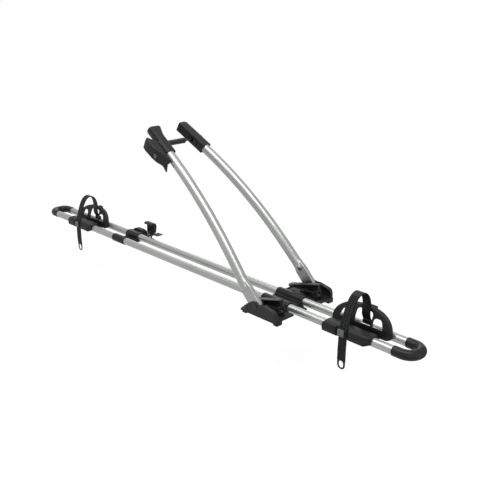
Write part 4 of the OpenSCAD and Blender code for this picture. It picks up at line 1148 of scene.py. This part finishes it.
def makeJawPad(side):
    # a rubber face set almost flush into the head, with shallow grooves across
    s = headShape
    hw, hd = s["wide"] / 2, s["deep"] / 2
    rows, at = headFrame(side)
    x0, x1 = s["rod"] + 9.3, s["long"] - 9.3

    def face(x):
        # only the right head's inner side spreads
        return flare(x) if side < 0 else 0 * x

    outline = alongFlare(x0, x1, lambda x: hw - 1.9 + face(x), lambda x: hw + 0.7 + face(x))
    pad = slab(outline, "plan", -hd + 3.2, hd - 3.2, 0.7)
    cuts = [block((x, hw + 0.2 + face(x), -30), (x + 1.3, hw + 20, 30), 0.2)
            for x in np.linspace(x0, x1, 9)[1:-1]]
    piece = moulded(sideName(side) + "JawPad", [pad], cuts, 0.5, 2, rows, at)
    dress(piece, "arms", "rubber", sideName(side) + "_jaw_pad")


def makeLeftHead():
    # a square block with eased edges, a seat for the jaw face, rod and screw recesses,
    # and fins over the tube's end
    s = headShape
    hw, hd = s["wide"] / 2, s["deep"] / 2
    rows, at = headFrame(1)
    end = s["long"] - 2
    plan = rounded([(-s["fin"], -hw), (end - 5, -hw), (end, -hw + 8), (end - 1.5, hw), (-s["fin"], hw)],
                   [1, 6, 3, 2, 1])
    solids = [slab(plan, "plan", -hd, hd, 2.6, 4)]
    # ribs along the upper face, and the two tongues at the lower end
    for y in (-8.5, -2.5, 3.5):
        solids.append(block((-s["fin"] + 1, y - 1.1, hd - 3), (end - 12, y + 1.1, hd + 0.9), 0.7))
    solids += [block((-s["fin"] - 3, -hw + 2.5, hd - 6), (10, -hw + 7, hd + 0.5), 0.8),
               block((4, -hw - 1.8, -5), (12, -hw + 3, 5), 0.8)]
    cuts = [rod((s["rod"], 0, 0), (s["rod"], 30, 0), 6.6, 0.2),
            block((s["rod"] + 9, hw - 1.3, -hd + 3), (end - 7, hw + 9, hd - 3), 0.6),
            slab(rounded([(5.5, -3.5), (17.5, -3.5), (17.5, 5.5), (5.5, 5.5)], 4.2), "side", hw - 4, hw + 9,
                 0.3)]
    dress(moulded("leftHead", solids, cuts, 0.7, 3, rows, at), "arms", "black_plastic", "left_head")


def makeRightHead():
    # its outer side is round; the inner side spreads a little towards the top
    s = headShape
    hw, hd = s["wide"] / 2, s["deep"] / 2
    rows, at = headFrame(-1)
    end = s["long"] - 2
    a = np.radians(np.linspace(90, 270, 19))
    section = np.concatenate([np.stack([-hw + hd + hd * np.cos(a), hd * np.sin(a)], 1),
                              [(hw - 3.0, -hd), (hw, -hd + 2.0), (hw, hd - 2.0), (hw - 3.0, hd)]])
    t = np.array([0, 0.02, 0.05, 0.3, 0.55, 0.62, 0.68, 0.74, 0.8, 0.86, 0.9, 0.94, 0.97, 0.99, 1.0])[:, None]
    x = -s["fin"] + (end + s["fin"]) * t
    ease = 1 - 0.06 * np.clip((0.02 - t) / 0.02, 0, 1) - 0.10 * np.clip((t - 0.97) / 0.03, 0, 1) ** 2
    across = section[None, :, 0] * ease + flare(x) * (section[None, :, 0] > 0)
    rings = np.stack([x + 0 * across, across, section[None, :, 1] * ease], -1)
    # a flat strip along the round side
    strip = slab(rounded([(44, -5.5), (end - 3, -5.5), (end - 3, 5.0), (44, 3.5)], 2.0), "plan", -2, 2.2, 0.5)
    strip = moved(strip, [[1, 0, 0], [0, 0.35, 0.937], [0, -0.937, 0.35]], (0, -hw + 3.1, hd - 5.3))
    seat = alongFlare(s["rod"] + 9, end - 7, lambda x: hw - 1.3 + flare(x), lambda x: 40 + 0 * x)
    cuts = [slab(seat, "plan", -hd + 3, hd - 3, 0.3),
            rod((s["rod"], -60, 0), (s["rod"], -hw + 1.4, 0), 12, 0.2)]
    piece = moulded("rightHead", [ringSolid(rings), strip], cuts, 0.7, 3, rows, at)
    dress(piece, "arms", "black_plastic", "right_head")


makeLeftHead()
makeRightHead()
for side in (-1, 1):
    makeJawPad(side)
print("heads made")


clampShape = {
    "pin": (-410.862, -87.113, 356.017),
    "cam": 14.6,
    "grip": 71.0,
    "camOff": (-0.845, 1.813),
    "pinRadius": 2.58,
    "lock": (-28.0, -11.0),
    "lockRadius": 6.08,
}


def makeClampLever():
    # the body is what three outlines share: its plan about the pin, its side view with
    # a hooked fin, and a section whose top falls away to the outer edge
    c = clampShape
    rows, at = headFrame(-1)[0], np.array(c["pin"])
    cam, grip = c["cam"], c["grip"]
    plan = np.concatenate([
        [(20, -cam), (26, -cam + 5), (26, -5), (13.5, 4)],
        arc(c["camOff"], cam - c["camOff"][1], 20, 90, 7),
        [(-grip + 2, cam), (-grip, cam - 3), (-grip * 0.6, 1), (-18, -9), (8, -cam)]])
    side = rounded([(30, 8), (12, 10), (-grip * 0.5, 8.6), (-grip - 1, 6), (-grip + 1, -5), (-grip + 8, -15),
                    (-grip + 1, -37), (-grip + 16, -25), (-grip * 0.5, -28), (-10, -24), (30, -19)],
                   [3, 6, 6, 2, 5, 11, 0.8, 12, 6, 8, 3], 5)
    top = rounded([(-40, -60), (-40, -16), (-cam, -1), (-7, 8.2), (6, 9.8), (40, 9.8), (40, -60)],
                  [1, 1, 3, 4, 2, 1, 1], 4)
    shares = [slab(side, "side", -40, 40, 0.1), slab(top, "across", -120, 80, 0.1)]
    piece = putMesh("clampLever", [moved(slab(rounded(plan[::-1], 1.5, 3), "plan", -45, 15, 0.3), rows, at)])
    remeshed(carved(piece, [moved(share, rows, at) for share in shares], "INTERSECT"), 0.6)
    # the top is dished, so that a rim stays along its outer edge; it falls with the top
    dish = slab(rounded([(12, -8.5), (12, 40), (-64, 40), (-58, 14), (-42, 7), (-18, -2.5), (4, -8.5)],
                        [2, 1, 1, 3, 8, 8, 4], 4), "plan", 8.0, 30, 0.5)
    lockX, lockZ = c["lock"]
    cuts = [moved(dish, [[1, 0, 0.05], [0, 1, 0], [0, 0, 1]]),
            rod((0, 0, -50), (0, 0, 6.4), c["pinRadius"], 0.1),
            block((-4, -3.6, -5.3), (40, 40, 5.3), 0.3),
            rod((0, 0, -5.3), (0, 0, 5.3), 6.5, 0.2),
            rod((lockX, -24, lockZ), (lockX, 36, lockZ), c["lockRadius"], 0.1)]
    eased(remeshed(carved(piece, [moved(cut, rows, at) for cut in cuts]), 0.6), 6)
    dress(piece, "clamp_lever", "lever_plastic", "clamp_lever")


makeClampLever()
print("clamp lever made")


# Rear foot

foot = {
    "x": -680.0,
    "long": 60.0,
    "wall": 1.8,
    "bolt": (-648.0, 68.0),
    "pinZ": leverShape["pin"][2],
    "leverHigh": 35.0,
}


def makeRearBase():
    s = foot
    r, y, z = rail["radius"] + s["wall"], rail["y"], rail["z"]
    x0, x1 = s["x"] - s["long"] / 2, s["x"] + s["long"] / 2
    sleeve = rod((x0, -y, z), (x1, -y, z), r, 1.2, 56)
    square = slab(rounded([(y - 13.5, 3), (y + 14.5, 3), (y + 14.5, z + r - 1.5), (y + 5, z + r + 0.4),
                           (y - 5, z + r + 0.4), (y - 13.5, z + 6)], [1.5, 1.5, 2.5, 6, 5, 5]),
                  "across", x0, x1, 1.2)
    boltX, boltY = s["bolt"]
    wing = [(x0 - 10, y + 4), (x1 + 4, y + 4), (x1 + 4, 86), (x0 - 10, 86)]
    lip = [(boltX - 8, 78), (boltX + 18, 78), (boltX + 18, 102), (boltX - 8, 102)]
    solids = [sleeve, square, block((x0, -y + 4, 6), (x1, y - 4, 10), 0.8),
              slab(rounded(wing, [2, 2, 5, 12]), "plan", 9.5, 13, 0.8),
              slab(rounded(lip, [1, 1, 3, 3]), "plan", 9.5, 12, 0.8)]
    cuts = [rod((x0 - 20, side * y, z), (x1 + 20, side * y, z), rail["radius"] + 0.08, 0.1)
            for side in (-1, 1)]
    cuts.append(rod((boltX, boltY, 0), (boltX, boltY, 30), 3.1, 0.1))
    dress(moulded("rearFootBase", solids, cuts, 0.7, 2), "rear_foot", "black_plastic", "rear_base")


def makeRearLever():
    # a broad curled handle on forked legs: its width falls to the foot
    h = foot["leverHigh"]

    def narrowed(solid):
        # 86 percent of the width at the foot, all of it near the top
        points, faces = solid
        points[:, 1] *= 0.86 + 0.14 * np.clip((points[:, 2] - 9) / (h - 14), 0, 1)
        return points, faces

    cam = rod((1.5, 4.1, 0), (1.5, 10, 0), 6.5, 0.6)
    shin = slab(rounded([(-5, 0), (8, 0), (7, 12), (-3, 12)], 1.5), "side", 4.1, 10, 0.8)
    solids = []
    for leg in (-1, 1):
        solids += [sided(cam, leg), sided(shin, leg)]
    profile = rounded([(8, 1), (9.5, h - 10), (5.5, h - 1.2), (-5.5, h), (-13, h - 4), (-12.4, h - 7),
                       (-5, h - 5.4), (-1.5, h - 11), (-4, 1)], [2.5, 6, 5, 5, 1.2, 1.2, 5, 4, 2.0], 4)
    solids.append(narrowed(slab(profile, "side", -20, 20, 1.8)))
    rib = rounded([(5, 10), (11.5, 13), (10, h - 10), (4.5, h - 2)], 1.5)
    for y in (-15.5, 0, 15.5):
        solids.append(narrowed(slab(rib, "side", y - 2, y + 2, 1.0)))
    cuts = [rod((0, -60, 0), (0, 60, 0), 2.58, 0.1), block((-20, -4, -20), (20, 4, 9), 0.3)]
    piece = moulded("rearLever", solids, cuts, 0.6, 3, [[0, 1, 0], [-1, 0, 0], [0, 0, 1]],
                    (*foot["bolt"], foot["pinZ"]))
    dress(piece, "rear_lever", "lever_plastic", "rear_lever")


def makeRearCover():
    # a low dome beside the left sleeve: steep in front, falling gently to the rear
    x0, y0, high = foot["x"] - foot["long"] / 2 - 8, rail["y"] + rail["radius"] + 3.4, 33.0
    outline = np.concatenate([
        [(x0 + 66, 13.2), (x0 + 66, high - 12)], arc((x0 + 48, high - 17), 17, 20, 90, 5),
        arc((x0 + 30, high - 26), 26, 95, 160, 8), [(x0 + 2, 13.2)]])
    cover = slab(outline, "side", y0, y0 + 18, (1.0, 5.0), 4)
    dress(moulded("rearCover", [cover], (), 0.7, 3), "rear_foot", "black_plastic", "rear_cover")


makeRearBase()
makeRearLever()
makeRearCover()
print("rear foot made")
